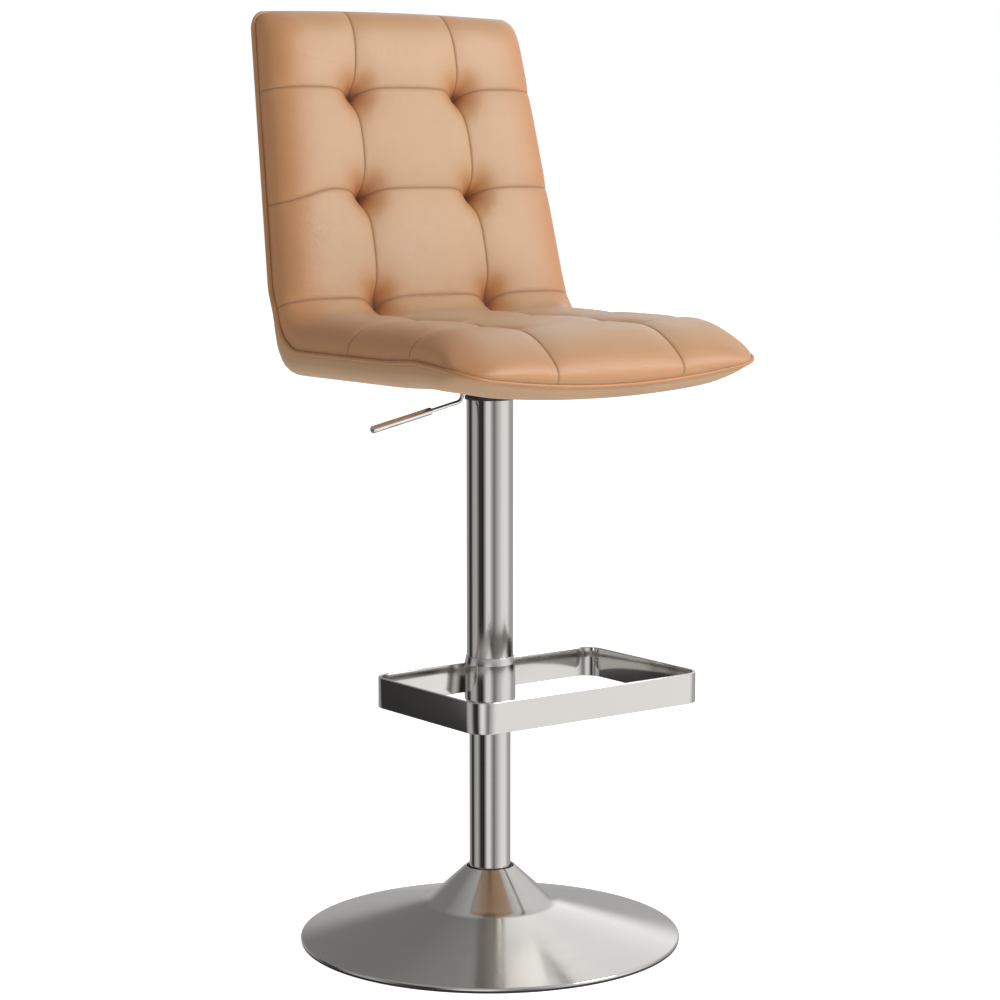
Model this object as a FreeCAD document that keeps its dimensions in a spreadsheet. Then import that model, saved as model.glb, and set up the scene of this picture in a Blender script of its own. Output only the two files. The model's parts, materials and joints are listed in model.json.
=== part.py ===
"""Swivel bar stool with a gas lift, a footrest loop and a one-piece padded seat and back.

The origin is the centre of the base on the floor, +Z is up and the sitter faces -Y.
The seat stands at the top of its lift, and every size is in millimetres.
"""

import FreeCAD, Part
import math
import os
import re

import Sketcher
from FreeCAD import Placement, Rotation, Vector

# How close two places in millimetres are taken to be the same.
NEAR = 1e-3

SIZES = {
    # round base
    "base_radius": 230,
    "floor_ring_height": 3,
    "floor_ring_width": 14,
    "floor_ring_inset": 0.5,
    "cover_wall": 1.5,
    "rim_height": 3,
    "crease_radius": 77,
    "crease_height": 46,
    "crease_rounding": 25,
    "mouth_gap": 4.4,
    "mouth_height": 90,
    "ballast_edge": 2,
    "ballast_thickness": 8,
    "ballast_gap": 1.2,
    "ballast_step": 14,
    # hub, column and its foot
    "hub_wall": 5,
    "hub_height": 72,
    "hub_step": 2.8,
    "column_radius": 25,
    "column_wall": 1.5,
    "column_bottom": 12,
    "column_top": 413,
    "taper_shrink": 1,
    "foot_thickness": 4,
    "foot_lift": 0.5,
    "press_gap": 0.02,
    "running_gap": 0.05,
    "piece_gap": 0.3,
    "cut_past": 1,
    "seal_height": 4,
    "seal_inset": 2.25,
    "bush_length": 80,
    "bush_flange": 3,
    # swivel bearing on the piston rod
    "rod_radius": 5,
    "rod_neck_radius": 4,
    "race_radius": 13,
    "race_thickness": 1.5,
    "ball_radius": 1.5,
    "ball_ring_radius": 9,
    "ball_count": 10,
    "cage_thickness": 1.6,
    "cage_edge": 3,
    "buffer_height": 18,
    "buffer_radius": 12.5,
    "buffer_play": 1.5,
    "clip_radius": 7.5,
    "clip_thickness": 1.2,
    "clip_washer_thickness": 1.4,
    "clip_washer_edge": 1,
    "clip_groove": 1,
    "rod_tail": 2,
    # gas cylinder
    "lift_travel": 200,
    "gas_radius": 14,
    "gas_wall": 1.5,
    "gas_taper_length": 50,
    "gas_taper_shrink": 0.8,
    "gas_top": 672,
    "gland_height": 15,
    "piston_height": 15,
    "piston_offset": 4,
    "valve_height": 20,
    "pin_radius": 4,
    "pin_tip_radius": 1.5,
    "pin_length": 24,
    # pressed pan and the hub below it
    "pan_bottom": 668,
    "pan_sheet": 2.5,
    "pan_box_half_x": 34,
    "pan_box_half_y": 40,
    "pan_flange_half_x": 75,
    "pan_flange_half_y": 72,
    "pan_slot_half": 4.5,
    "pan_slot_sill": 1,
    "seat_hub_radius": 22,
    "seat_hub_length": 48,
    "bolt_x": 58,
    "bolt_y": 55,
    "bolt_radius": 3,
    "bolt_hole_gap": 0.3,
    "bolt_head_width": 10,
    "bolt_head_height": 4,
    "bolt_washer_radius": 7,
    "bolt_washer_thickness": 1.2,
    "nut_flange_radius": 10,
    "nut_flange_thickness": 1.2,
    "nut_barrel_radius": 4.2,
    # shroud, its bushes and the footrest
    "liner_space": 1.5,
    "shroud_wall": 1.5,
    "shroud_top": 657,
    "shroud_flange_edge": 2,
    "shroud_flange_height": 4.5,
    "top_bush_length": 20,
    "liner_length": 40,
    "collar_wall": 2.8,
    "collar_bottom": 292.5,
    "collar_height": 55.5,
    "collar_foot": 3.5,
    "collar_shoulder": 9,
    "collar_lip": 0.8,
    "footrest_half_width": 164.5,
    "footrest_front": 203,
    "footrest_back": 14,
    "footrest_bottom": 304,
    "footrest_band": 36,
    "footrest_strip": 4,
    "footrest_corner": 25,
    # height lever
    "lever_height": 680,
    "lever_radius": 2.5,
    "lever_tip": 3,
    "lever_pivot": 22,
    "lever_boss_radius": 5,
    "lever_boss_half": 4,
    "pivot_radius": 2,
    "pivot_half": 8.5,
    "ear_thickness": 2,
    "ear_half_width": 6,
    "ear_height": 12,
    "lever_knee_x": 36,
    "lever_bend_x": 42.5,
    "lever_bend_height": 656.5,
    "lever_bend_radius": 8,
    "lever_reach": 170,
    "lever_slope": 11.9,
    "grip_radius": 4.5,
    "grip_length": 86,
    "grip_cap_length": 4,
    "grip_cap_plug": 5,
    # seat and back
    "seat_half_width": 215,
    "seat_front": 244,
    "seat_corner": 70,
    "board_top": 706,
    "board_thickness": 12,
    "lip_start": 150,
    "lip_drop": 12,
    "bend_depth": 127,
    "bend_radius": 60,
    "back_rake": 12.4,
    "back_top": 1110,
    "back_top_half_width": 189,
    "back_top_corner": 20,
    "taper_start": 744,
    "cover_under_pad": 6,
    "cover_skin": 3,
    "cushion_seat_depth": 49,
    "cushion_back_depth": 38,
    "cushion_bend_radius": 28,
    "cushion_edge": 22,
    "welt_out": 4,
    "welt_half": 2.5,
}

document = FreeCAD.newDocument("bar_stool")
sheet = document.addObject("Spreadsheet::Sheet", "sizes")
for row, (alias, value) in enumerate(SIZES.items(), start=1):
    sheet.set(f"A{row}", alias.replace("_", " "))
    sheet.set(f"B{row}", str(value))
    sheet.setAlias(f"B{row}", alias)
document.recompute()

# Heights that several pieces stack up from, as expressions of the sheet.
FOOT_LOW = "(column_bottom + foot_lift)"
FOOT_HIGH = f"({FOOT_LOW} + foot_thickness)"
BALL_LEVEL = f"({FOOT_HIGH} + race_thickness + ball_radius)"
RACE_LOW = f"({BALL_LEVEL} + ball_radius)"
RACE_HIGH = f"({RACE_LOW} + race_thickness)"
BUFFER_HIGH = f"({RACE_HIGH} + buffer_height)"
GAS_BOTTOM = f"({BUFFER_HIGH} + buffer_play + lift_travel)"
PISTON_LOW = f"({GAS_BOTTOM} + gland_height + piston_offset)"
PISTON_HIGH = f"({PISTON_LOW} + piston_height)"
CLIP_WASHER_LOW = f"({FOOT_LOW} - clip_washer_thickness)"
CLIP_LOW = f"({CLIP_WASHER_LOW} - clip_thickness)"
MOUTH_RADIUS = "(column_radius + mouth_gap)"
HUB_RADIUS = "(column_radius + hub_wall)"
COLUMN_BORE = "(column_radius - column_wall)"
GAS_BORE = "(gas_radius - gas_wall)"
SHROUD_BORE = "(column_radius + liner_space)"
SHROUD_RADIUS = f"({SHROUD_BORE} + shroud_wall)"
COLLAR_RADIUS = f"({SHROUD_RADIUS} + collar_wall)"
SEAT_UNDER = "(board_top - board_thickness - cover_under_pad)"
BOARD_UNDER = "(board_top - board_thickness)"
PAN_FLANGE_LOW = f"({SEAT_UNDER} - pan_sheet)"
PAN_FLOOR = "(pan_bottom + pan_sheet)"
LEVER_BEND_RUN = "(lever_reach - lever_bend_x)"
LEVER_LENGTH = f"({LEVER_BEND_RUN} / cos(lever_slope * 1deg))"


def size(alias):
    """One driving dimension of the sheet, as a number."""
    return float(sheet.get(alias))


def bound(text):
    """The expression with each of its names taken from the sheet."""
    return re.sub(r"[a-z_]+", lambda word: f"sizes.{word[0]}" if word[0] in SIZES else word[0], text)


def bind(item, **properties):
    """Bind properties of an object, with __ for a dot, to expressions."""
    for name, text in properties.items():
        item.setExpression(name.replace("__", "."), bound(text))
    return item


def new_body(label):
    body = document.addObject("PartDesign::Body", label)
    body.Label = label
    return body


def new_sketch(body, role, offset="0"):
    """A sketch on one of the body's own origin planes, raised along that plane's normal."""
    sketch = body.newObject("Sketcher::SketchObject", f"{body.Label}_sketch")
    plane = next(item for item in body.Origin.OriginFeatures if item.Role == role)
    sketch.AttachmentSupport = [(plane, "")]
    sketch.MapMode = "FlatFace"
    return bind(sketch, AttachmentOffset__Base__z=offset)


def draw_outline(sketch, corners):
    """A closed outline of straight sides, with an expression for each corner's two coordinates."""
    first = sketch.GeometryCount
    count = len(corners)
    turns = [2 * math.pi * k / count for k in range(count)]
    start = [Vector(math.cos(turn), math.sin(turn), 0) for turn in turns]
    for k in range(count):
        sketch.addGeometry(Part.LineSegment(start[k], start[(k + 1) % count]), False)
    for k in range(count):
        after = first + (k + 1) % count
        sketch.addConstraint(Sketcher.Constraint("Coincident", first + k, 2, after, 1))
    for k, (across, along) in enumerate(corners):
        for kind, text, value in (("DistanceX", across, start[k].x), ("DistanceY", along, start[k].y)):
            index = sketch.addConstraint(Sketcher.Constraint(kind, -1, 1, first + k, 1, value))
            sketch.setExpression(f"Constraints[{index}]", bound(text))
    return sketch


def draw_circle(sketch, radius, across="0", along="0"):
    """A circle with expressions for its radius and its centre."""
    index = sketch.addGeometry(Part.Circle(Vector(1, 1, 0), Vector(0, 0, 1), 1), False)
    for constraint, text in (
        (Sketcher.Constraint("Radius", index, 1), radius),
        (Sketcher.Constraint("DistanceX", -1, 1, index, 3, 1), across),
        (Sketcher.Constraint("DistanceY", -1, 1, index, 3, 1), along),
    ):
        number = sketch.addConstraint(constraint)
        sketch.setExpression(f"Constraints[{number}]", bound(text))
    return sketch


def rectangle(low_x, high_x, low_y, high_y):
    """The four corners of a rectangle, in order."""
    return [(low_x, low_y), (high_x, low_y), (high_x, high_y), (low_x, high_y)]


def pad(body, sketch, length, **settings):
    feature = body.newObject("PartDesign::Pad", f"{body.Label}_pad")
    feature.Profile = sketch
    for name, value in settings.items():
        setattr(feature, name, value)
    return bind(feature, Length=length)


def pocket(body, sketch, length=None, **settings):
    """A pocket that has to take material away: of the given length, or through the whole body."""
    document.recompute()
    volume = body.Shape.Volume
    feature = body.newObject("PartDesign::Pocket", f"{body.Label}_pocket")
    feature.Profile = sketch
    for name, value in settings.items():
        setattr(feature, name, value)
    if length is None:
        feature.Type = "ThroughAll"
        feature.Midplane = True
    else:
        bind(feature, Length=length)
    document.recompute()
    if body.Shape.Volume > volume - NEAR:
        raise RuntimeError(f"{feature.Label} cuts nothing")
    return feature


def round_edges(body, test, radius, kind="Fillet"):
    """Fillet every edge of the body's tip that passes the test."""
    document.recompute()
    base = body.Tip
    names = [f"Edge{n}" for n, edge in enumerate(base.Shape.Edges, start=1) if test(edge)]
    if not names:
        raise RuntimeError(f"{body.Label} has no edge to round")
    feature = body.newObject(f"PartDesign::{kind}", f"{body.Label}_{kind.lower()}")
    feature.Base = (base, names)
    return bind(feature, Radius=radius)


def turned(label, corners):
    """A body turned about the Z axis from the outline of its section (radius, height)."""
    body = new_body(label)
    sketch = draw_outline(new_sketch(body, "XZ_Plane"), corners)
    feature = body.newObject("PartDesign::Revolution", f"{label}_turned")
    feature.Profile = sketch
    feature.ReferenceAxis = (sketch, ["V_Axis"])
    feature.Angle = 360
    return body


def ring(label, inner, outer, low, high):
    """A turned ring, or a disc where the inner radius is 0."""
    return turned(label, rectangle(inner, outer, low, high))


def primitive(kind, name, x="0", y="0", z="0", **properties):
    """A Part primitive with its place and sizes bound to the sheet."""
    item = document.addObject(f"Part::{kind}", name)
    return bind(item, Placement__Base__x=x, Placement__Base__y=y, Placement__Base__z=z, **properties)


def combined(kind, label, pieces):
    """A Part::MultiFuse or Part::Compound of several objects."""
    item = document.addObject(f"Part::{kind}", label)
    setattr(item, "Links" if kind == "Compound" else "Shapes", pieces)
    item.Label = label
    return item


def boolean(kind, label, base, tool):
    """A Part::Cut or Part::Common of two objects."""
    item = document.addObject(f"Part::{kind}", label)
    item.Base, item.Tool = base, tool
    item.Label = label
    return item


def cut(label, base, tool):
    return boolean("Cut", label, base, tool)


def upright(edge):
    """Whether an edge is a straight one along Z."""
    low, high = edge.BoundBox.ZMin, edge.BoundBox.ZMax
    return edge.BoundBox.DiagonalLength - (high - low) < NEAR and high - low > NEAR


# ---- base ----


def make_floor_ring():
    outer = "(base_radius - floor_ring_inset)"
    return ring("floor_ring", f"{outer} - floor_ring_width", outer, "0", "floor_ring_height")


RIM_TOP = "(floor_ring_height + rim_height)"
FLANGE_SLOPE = f"((crease_height - {RIM_TOP}) / (base_radius - crease_radius))"
FLANGE_ANGLE = f"atan({FLANGE_SLOPE})"
CONE_ANGLE = f"atan((mouth_height - crease_height) / (crease_radius - {MOUTH_RADIUS}))"


def make_base_cover():
    """The spun steel trumpet: one wall from its rim over the flange and up the cone to its mouth."""
    mitre = f"(({CONE_ANGLE} + {FLANGE_ANGLE}) / 2)"
    reach = f"(cover_wall / cos(({CONE_ANGLE} - {FLANGE_ANGLE}) / 2))"
    drop = f"cover_wall * ({FLANGE_SLOPE} - 1 / cos({FLANGE_ANGLE}))"
    body = turned(
        "base_cover",
        [
            ("base_radius", "floor_ring_height"),
            ("base_radius", RIM_TOP),
            ("crease_radius", "crease_height"),
            (MOUTH_RADIUS, "mouth_height"),
            (f"{MOUTH_RADIUS} - cover_wall / sin({CONE_ANGLE})", "mouth_height"),
            (f"crease_radius - {reach} * sin({mitre})", f"crease_height - {reach} * cos({mitre})"),
            ("base_radius - cover_wall", f"{RIM_TOP} + {drop}"),
            ("base_radius - cover_wall", "floor_ring_height"),
        ],
    )
    document.recompute()
    section = document.getObject("base_cover_sketch").Geometry
    for corner, radius in ((2, "crease_rounding"), (5, "crease_rounding + cover_wall")):
        place = section[corner].StartPoint
        round_edges(
            body,
            lambda edge: edge.BoundBox.ZLength < NEAR
            and abs(edge.BoundBox.XMax - place.x) + abs(edge.BoundBox.ZMax - place.y) < NEAR,
            radius,
        )
    return body


def make_ballast_disc():
    """The iron disc that fills the base below the flange of its cover."""
    edge = "(base_radius - cover_wall - ballast_gap)"
    low = "floor_ring_height"
    return turned(
        "ballast_disc",
        [
            (f"{HUB_RADIUS} + press_gap", low),
            (edge, low),
            (edge, f"{low} + ballast_edge"),
            (f"{edge} - ballast_step", f"{low} + ballast_edge + ballast_step * {FLANGE_SLOPE}"),
            (f"{HUB_RADIUS} + ballast_step", f"{low} + ballast_edge + ballast_step * {FLANGE_SLOPE}"),
            (f"{HUB_RADIUS} + ballast_step", f"{low} + 2 * ballast_thickness"),
            (f"{HUB_RADIUS} + press_gap", f"{low} + 2 * ballast_thickness"),
        ],
    )


def make_hub_socket():
    """The steel socket that the column's taper is driven into."""
    return turned(
        "hub_socket",
        [
            ("column_radius - hub_step", "floor_ring_height"),
            (HUB_RADIUS, "floor_ring_height"),
            (HUB_RADIUS, "hub_height"),
            ("column_radius + press_gap", "hub_height"),
            ("column_radius - taper_shrink + press_gap", "column_bottom"),
            ("column_radius - hub_step", "column_bottom"),
        ],
    )


def make_column_tube():
    """The fixed outer column, tapered where it sits in its socket."""
    return turned(
        "column_tube",
        [
            ("column_radius - taper_shrink", "column_bottom"),
            ("column_radius", "hub_height"),
            ("column_radius", "column_top"),
            (COLUMN_BORE, "column_top"),
            (COLUMN_BORE, "hub_height"),
            (f"{COLUMN_BORE} - taper_shrink", "column_bottom"),
        ],
    )


def make_column_foot():
    inner = "rod_neck_radius + running_gap"
    return ring("column_foot", inner, f"{COLUMN_BORE} - taper_shrink - press_gap", FOOT_LOW, FOOT_HIGH)


def make_dust_seal():
    """The rubber ring that closes the mouth of the trumpet round the column."""
    return ring(
        "dust_seal",
        "column_radius + press_gap",
        f"{MOUTH_RADIUS} - seal_inset",
        "mouth_height - seal_height",
        "mouth_height - piece_gap",
    )


def make_guide_bush():
    """The plastic bush in the top of the column that the gas cylinder slides in."""
    inner = "gas_radius + running_gap"
    return turned(
        "guide_bush",
        [
            (inner, "column_top - bush_length"),
            (f"{COLUMN_BORE} - press_gap", "column_top - bush_length"),
            (f"{COLUMN_BORE} - press_gap", "column_top"),
            ("column_radius - running_gap", "column_top"),
            ("column_radius - running_gap", "column_top + bush_flange"),
            (inner, "column_top + bush_flange"),
        ],
    )


# ---- swivel bearing and piston ----


def make_lower_race():
    return ring("lower_race", "rod_radius", "race_radius", FOOT_HIGH, f"{FOOT_HIGH} + race_thickness")


def make_upper_race():
    return ring("upper_race", "rod_neck_radius + running_gap", "race_radius", RACE_LOW, RACE_HIGH)


def polar_copies(body, feature):
    """Spread a feature evenly round the Z axis, once for each ball of the bearing."""
    document.recompute()
    pattern = body.newObject("PartDesign::PolarPattern", f"{body.Label}_copies")
    pattern.Originals = [feature]
    axis = next(item for item in body.Origin.OriginFeatures if item.Role == "Z_Axis")
    pattern.Axis = (axis, [""])
    pattern.Angle = 360
    bind(pattern, Occurrences="ball_count")
    body.Tip = pattern
    return body


def make_bearing_balls():
    body = new_body("bearing_balls")
    ball = body.newObject("PartDesign::AdditiveSphere", "bearing_ball")
    plane = next(item for item in body.Origin.OriginFeatures if item.Role == "XY_Plane")
    ball.AttachmentSupport = [(plane, "")]
    ball.MapMode = "FlatFace"
    bind(
        ball,
        Radius="ball_radius",
        AttachmentOffset__Base__x="ball_ring_radius",
        AttachmentOffset__Base__z=BALL_LEVEL,
    )
    return polar_copies(body, ball)


def make_bearing_cage():
    half = "cage_thickness / 2"
    body = ring(
        "bearing_cage",
        "ball_ring_radius - cage_edge",
        "ball_ring_radius + cage_edge",
        f"{BALL_LEVEL} - {half}",
        f"{BALL_LEVEL} + {half}",
    )
    hole = draw_circle(new_sketch(body, "XY_Plane"), "ball_radius + running_gap", "ball_ring_radius")
    return polar_copies(body, pocket(body, hole))


def make_rubber_buffer():
    return ring("rubber_buffer", "rod_radius + press_gap", "buffer_radius", RACE_HIGH, BUFFER_HIGH)


def make_clip_washer():
    inner = "rod_neck_radius + running_gap"
    return ring("clip_washer", inner, "clip_radius + clip_washer_edge", CLIP_WASHER_LOW, FOOT_LOW)


def make_retaining_clip():
    """The spring clip in the groove at the lower end of the piston rod."""
    inner = "rod_neck_radius - clip_groove + press_gap"
    body = ring("retaining_clip", inner, "clip_radius", CLIP_LOW, CLIP_WASHER_LOW)
    mouth = rectangle("0", "clip_radius + cut_past", "-rod_neck_radius / 2", "rod_neck_radius / 2")
    pocket(body, draw_outline(new_sketch(body, "XY_Plane"), mouth))
    return body


def make_piston_rod():
    """The rod that stands in the foot of the column and turns on the bearing."""
    groove = "rod_neck_radius - clip_groove"
    return turned(
        "piston_rod",
        [
            ("0", f"{CLIP_LOW} - rod_tail"),
            ("rod_neck_radius", f"{CLIP_LOW} - rod_tail"),
            ("rod_neck_radius", CLIP_LOW),
            (groove, CLIP_LOW),
            (groove, CLIP_WASHER_LOW),
            ("rod_neck_radius", CLIP_WASHER_LOW),
            ("rod_neck_radius", RACE_HIGH),
            ("rod_radius", RACE_HIGH),
            ("rod_radius", PISTON_LOW),
            ("rod_neck_radius", PISTON_LOW),
            ("rod_neck_radius", f"{PISTON_HIGH} + rod_tail"),
            ("0", f"{PISTON_HIGH} + rod_tail"),
        ],
    )


def make_piston_head():
    inner = "rod_neck_radius + press_gap"
    return ring("piston_head", inner, f"{GAS_BORE} - running_gap", PISTON_LOW, PISTON_HIGH)


# ---- gas cylinder ----


def make_gas_cylinder():
    """The sliding pressure tube, tapered at its top where it wedges into the seat's hub."""
    return turned(
        "gas_cylinder",
        [
            ("gas_radius", GAS_BOTTOM),
            ("gas_radius", "gas_top - gas_taper_length"),
            ("gas_radius - gas_taper_shrink", "gas_top"),
            (f"{GAS_BORE} - gas_taper_shrink", "gas_top"),
            (f"{GAS_BORE} - gas_taper_shrink", "gas_top - gas_taper_length"),
            (GAS_BORE, "gas_top - gas_taper_length - gas_wall"),
            (GAS_BORE, GAS_BOTTOM),
        ],
    )


def make_rod_gland():
    """The guide and seal that close the lower end of the gas cylinder round the rod."""
    low, high = GAS_BOTTOM, f"{GAS_BOTTOM} + gland_height"
    return ring("rod_gland", "rod_radius + running_gap", f"{GAS_BORE} - press_gap", low, high)


def make_valve_body():
    outer = f"{GAS_BORE} - gas_taper_shrink - press_gap"
    return ring("valve_body", "pin_radius + running_gap", outer, "gas_top - valve_height", "gas_top")


def make_release_pin():
    """The valve pin on top of the gas cylinder that the lever presses."""
    top = "(lever_height - lever_radius - piece_gap)"
    return turned(
        "release_pin",
        [
            ("0", f"{top} - pin_length"),
            ("pin_radius", f"{top} - pin_length"),
            ("pin_radius", f"{top} - pin_tip_radius"),
            ("pin_tip_radius", top),
            ("0", top),
        ],
    )


# ---- seat pan and its fasteners ----


def make_seat_pan():
    """The pressed pan: a flange bolted below the seat and a box that holds the lever's pivot."""
    body = new_body("seat_pan")
    half_x, half_y = "pan_flange_half_x", "pan_flange_half_y"
    flange = draw_outline(
        new_sketch(body, "XY_Plane", PAN_FLANGE_LOW), rectangle(f"-{half_x}", half_x, f"-{half_y}", half_y)
    )
    pad(body, flange, "pan_sheet")
    half_x, half_y = "pan_box_half_x", "pan_box_half_y"
    box = draw_outline(
        new_sketch(body, "XY_Plane", "pan_bottom"), rectangle(f"-{half_x}", half_x, f"-{half_y}", half_y)
    )
    pad(body, box, f"{PAN_FLANGE_LOW} - pan_bottom")
    in_x, in_y = f"({half_x} - pan_sheet)", f"({half_y} - pan_sheet)"
    inside = draw_outline(
        new_sketch(body, "XY_Plane", SEAT_UNDER), rectangle(f"-{in_x}", in_x, f"-{in_y}", in_y)
    )
    pocket(body, inside, f"{SEAT_UNDER} - {PAN_FLOOR}")
    hole = draw_circle(new_sketch(body, "XY_Plane", PAN_FLOOR), "gas_radius")
    pocket(body, hole, "pan_sheet + cut_past")
    slot = draw_outline(
        new_sketch(body, "YZ_Plane", f"-{in_x} + cut_past"),
        rectangle("-pan_slot_half", "pan_slot_half", f"{PAN_FLOOR} + pan_slot_sill", PAN_FLANGE_LOW),
    )
    pocket(body, slot, "pan_sheet + 2 * cut_past")
    bolts = new_sketch(body, "XY_Plane", SEAT_UNDER)
    for across in ("-bolt_x", "bolt_x"):
        for along in ("-bolt_y", "bolt_y"):
            draw_circle(bolts, "bolt_radius + bolt_hole_gap", across, along)
    pocket(body, bolts, "pan_sheet + cut_past")
    return body


def make_seat_hub():
    """The tapered hub welded below the pan, which the gas cylinder wedges into."""
    low = "(pan_bottom - seat_hub_length)"
    wide = "gas_radius + press_gap"
    narrow = f"{wide} - gas_taper_shrink * (pan_bottom - gas_top + gas_taper_length) / gas_taper_length"
    return turned(
        "seat_hub",
        [
            (wide, low),
            ("seat_hub_radius", low),
            ("seat_hub_radius", "pan_bottom"),
            (narrow, "pan_bottom"),
            (wide, "gas_top - gas_taper_length"),
        ],
    )


BOLT_CORNERS = [(x, y) for x in ("-bolt_x", "bolt_x") for y in ("-bolt_y", "bolt_y")]


def make_seat_bolts():
    """Four hexagon bolts from below the pan up into the board."""
    head_low = f"({PAN_FLANGE_LOW} - bolt_washer_thickness - bolt_head_height)"
    bolts = []
    for n, (x, y) in enumerate(BOLT_CORNERS, start=1):
        head = primitive(
            "Prism", f"bolt_head_{n}", x, y, head_low,
            Circumradius="bolt_head_width / sqrt(3)", Height="bolt_head_height",
        )
        shank = primitive(
            "Cylinder", f"bolt_shank_{n}", x, y, head_low,
            Radius="bolt_radius", Height=f"board_top - {head_low}",
        )
        bolts.append(combined("MultiFuse", f"bolt_{n}", [head, shank]))
    return combined("Compound", "seat_bolts", bolts)


def washers(label, inner, outer, low, thickness):
    """One flat washer at each of the four bolts."""
    rings = []
    for n, (x, y) in enumerate(BOLT_CORNERS, start=1):
        disc = primitive("Cylinder", f"{label}_disc_{n}", x, y, low, Radius=outer, Height=thickness)
        hole = primitive("Cylinder", f"{label}_hole_{n}", x, y, low, Radius=inner, Height=thickness)
        rings.append(cut(f"{label}_{n}", disc, hole))
    return rings


def make_bolt_washers():
    low = f"{PAN_FLANGE_LOW} - bolt_washer_thickness"
    rings = washers(
        "bolt_washer", "bolt_radius + bolt_hole_gap", "bolt_washer_radius", low, "bolt_washer_thickness"
    )
    return combined("Compound", "bolt_washers", rings)


def make_tee_nuts():
    """Four flanged nuts let into the top of the board."""
    inner = "bolt_radius + press_gap"
    low = "board_top - nut_flange_thickness"
    flanges = washers("nut_flange", inner, "nut_flange_radius", low, "nut_flange_thickness")
    barrels = washers("nut_barrel", inner, "nut_barrel_radius", BOARD_UNDER, f"{low} - {BOARD_UNDER}")
    nuts = [combined("MultiFuse", f"tee_nut_{n}", pair) for n, pair in enumerate(zip(flanges, barrels), 1)]
    return combined("Compound", "tee_nuts", nuts)


# ---- shroud and footrest ----


def make_shroud_tube():
    """The sliding outer tube that hangs from the seat's hub over the column."""
    return ring("shroud_tube", SHROUD_BORE, SHROUD_RADIUS, "collar_bottom + collar_lip", "shroud_top")


def make_shroud_top_bush():
    """The flanged ring that centres the shroud on the hub."""
    inner = "seat_hub_radius + press_gap"
    return turned(
        "shroud_top_bush",
        [
            (inner, "shroud_top - top_bush_length"),
            (f"{SHROUD_BORE} - press_gap", "shroud_top - top_bush_length"),
            (f"{SHROUD_BORE} - press_gap", "shroud_top"),
            (f"{SHROUD_RADIUS} + shroud_flange_edge", "shroud_top"),
            (f"{SHROUD_RADIUS} + shroud_flange_edge", "shroud_top + shroud_flange_height"),
            (inner, "shroud_top + shroud_flange_height"),
        ],
    )


def make_shroud_liner():
    """The plastic sleeve in the shroud's lower end, which slides on the column."""
    low = "collar_bottom + collar_lip"
    outer = f"{SHROUD_BORE} - press_gap"
    return ring("shroud_liner", "column_radius + running_gap", outer, low, f"{low} + liner_length")


def make_footrest_collar():
    bore = f"{SHROUD_RADIUS} + press_gap"
    top = "collar_bottom + collar_height"
    return turned(
        "footrest_collar",
        [
            (bore, "collar_bottom"),
            (f"{bore} + collar_lip", "collar_bottom"),
            (COLLAR_RADIUS, "collar_bottom + collar_foot"),
            (COLLAR_RADIUS, f"{top} - collar_shoulder"),
            (f"{bore} + collar_lip", top),
            (bore, top),
        ],
    )


def make_footrest_loop():
    """A flat strip bent into a rounded rectangle, its two ends welded to the collar's sides."""
    body = new_body("footrest_loop")

    def outline(inset):
        side = f"(footrest_half_width - {inset})"
        return rectangle(f"-{side}", side, f"-footrest_front + {inset}", f"footrest_back - {inset}")

    def upright_at(half_width):
        return lambda edge: upright(edge) and abs(abs(edge.BoundBox.Center.x) - half_width) < NEAR

    pad(body, draw_outline(new_sketch(body, "XY_Plane", "footrest_bottom"), outline("0")), "footrest_band")
    pocket(body, draw_outline(new_sketch(body, "XY_Plane", "footrest_bottom"), outline("footrest_strip")))
    outer_x = size("footrest_half_width")
    round_edges(body, upright_at(outer_x - size("footrest_strip")), "footrest_corner - footrest_strip")
    round_edges(body, upright_at(outer_x), "footrest_corner")
    seat = draw_circle(new_sketch(body, "XY_Plane", "footrest_bottom"), f"{COLLAR_RADIUS} + press_gap")
    pocket(body, seat)
    return body


# ---- height lever ----


def make_lever_bracket():
    """Two ears on a foot, welded to the floor of the pan either side of the lever."""
    inner = "(lever_boss_half + piece_gap)"
    half_y = f"({inner} + ear_thickness)"
    foot = primitive(
        "Box", "bracket_foot", "-lever_pivot - ear_half_width", f"-{half_y}", PAN_FLOOR,
        Length="2 * ear_half_width", Width=f"2 * {half_y}", Height="ear_thickness",
    )
    low_x, low_z = "-lever_pivot - ear_half_width", f"{PAN_FLOOR} + ear_thickness"
    ears = [
        primitive(
            "Box", f"bracket_ear_{n}", low_x, low_y, low_z,
            Length="2 * ear_half_width", Width="ear_thickness", Height="ear_height",
        )
        for n, low_y in enumerate((f"-{half_y}", inner), start=1)
    ]
    plate = combined("MultiFuse", "bracket_plate", [foot, *ears])
    return cut("lever_bracket", plate, cross_pin("bracket_bore", "pivot_radius + press_gap"))


def cross_pin(name, radius):
    """A cylinder across the stool on the lever's pivot axis."""
    pin = primitive("Cylinder", name, Radius=radius, Height="2 * pivot_half")
    pin.Placement = Placement(Vector(), Rotation(Vector(1, 0, 0), -90))
    place = {"x": "-lever_pivot", "y": "-pivot_half", "z": "lever_height"}
    return bind(pin, **{f"Placement__Base__{axis}": text for axis, text in place.items()})


def make_pivot_pin():
    pin = cross_pin("pivot_pin", "pivot_radius")
    pin.Label = "pivot_pin"
    return pin


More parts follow.
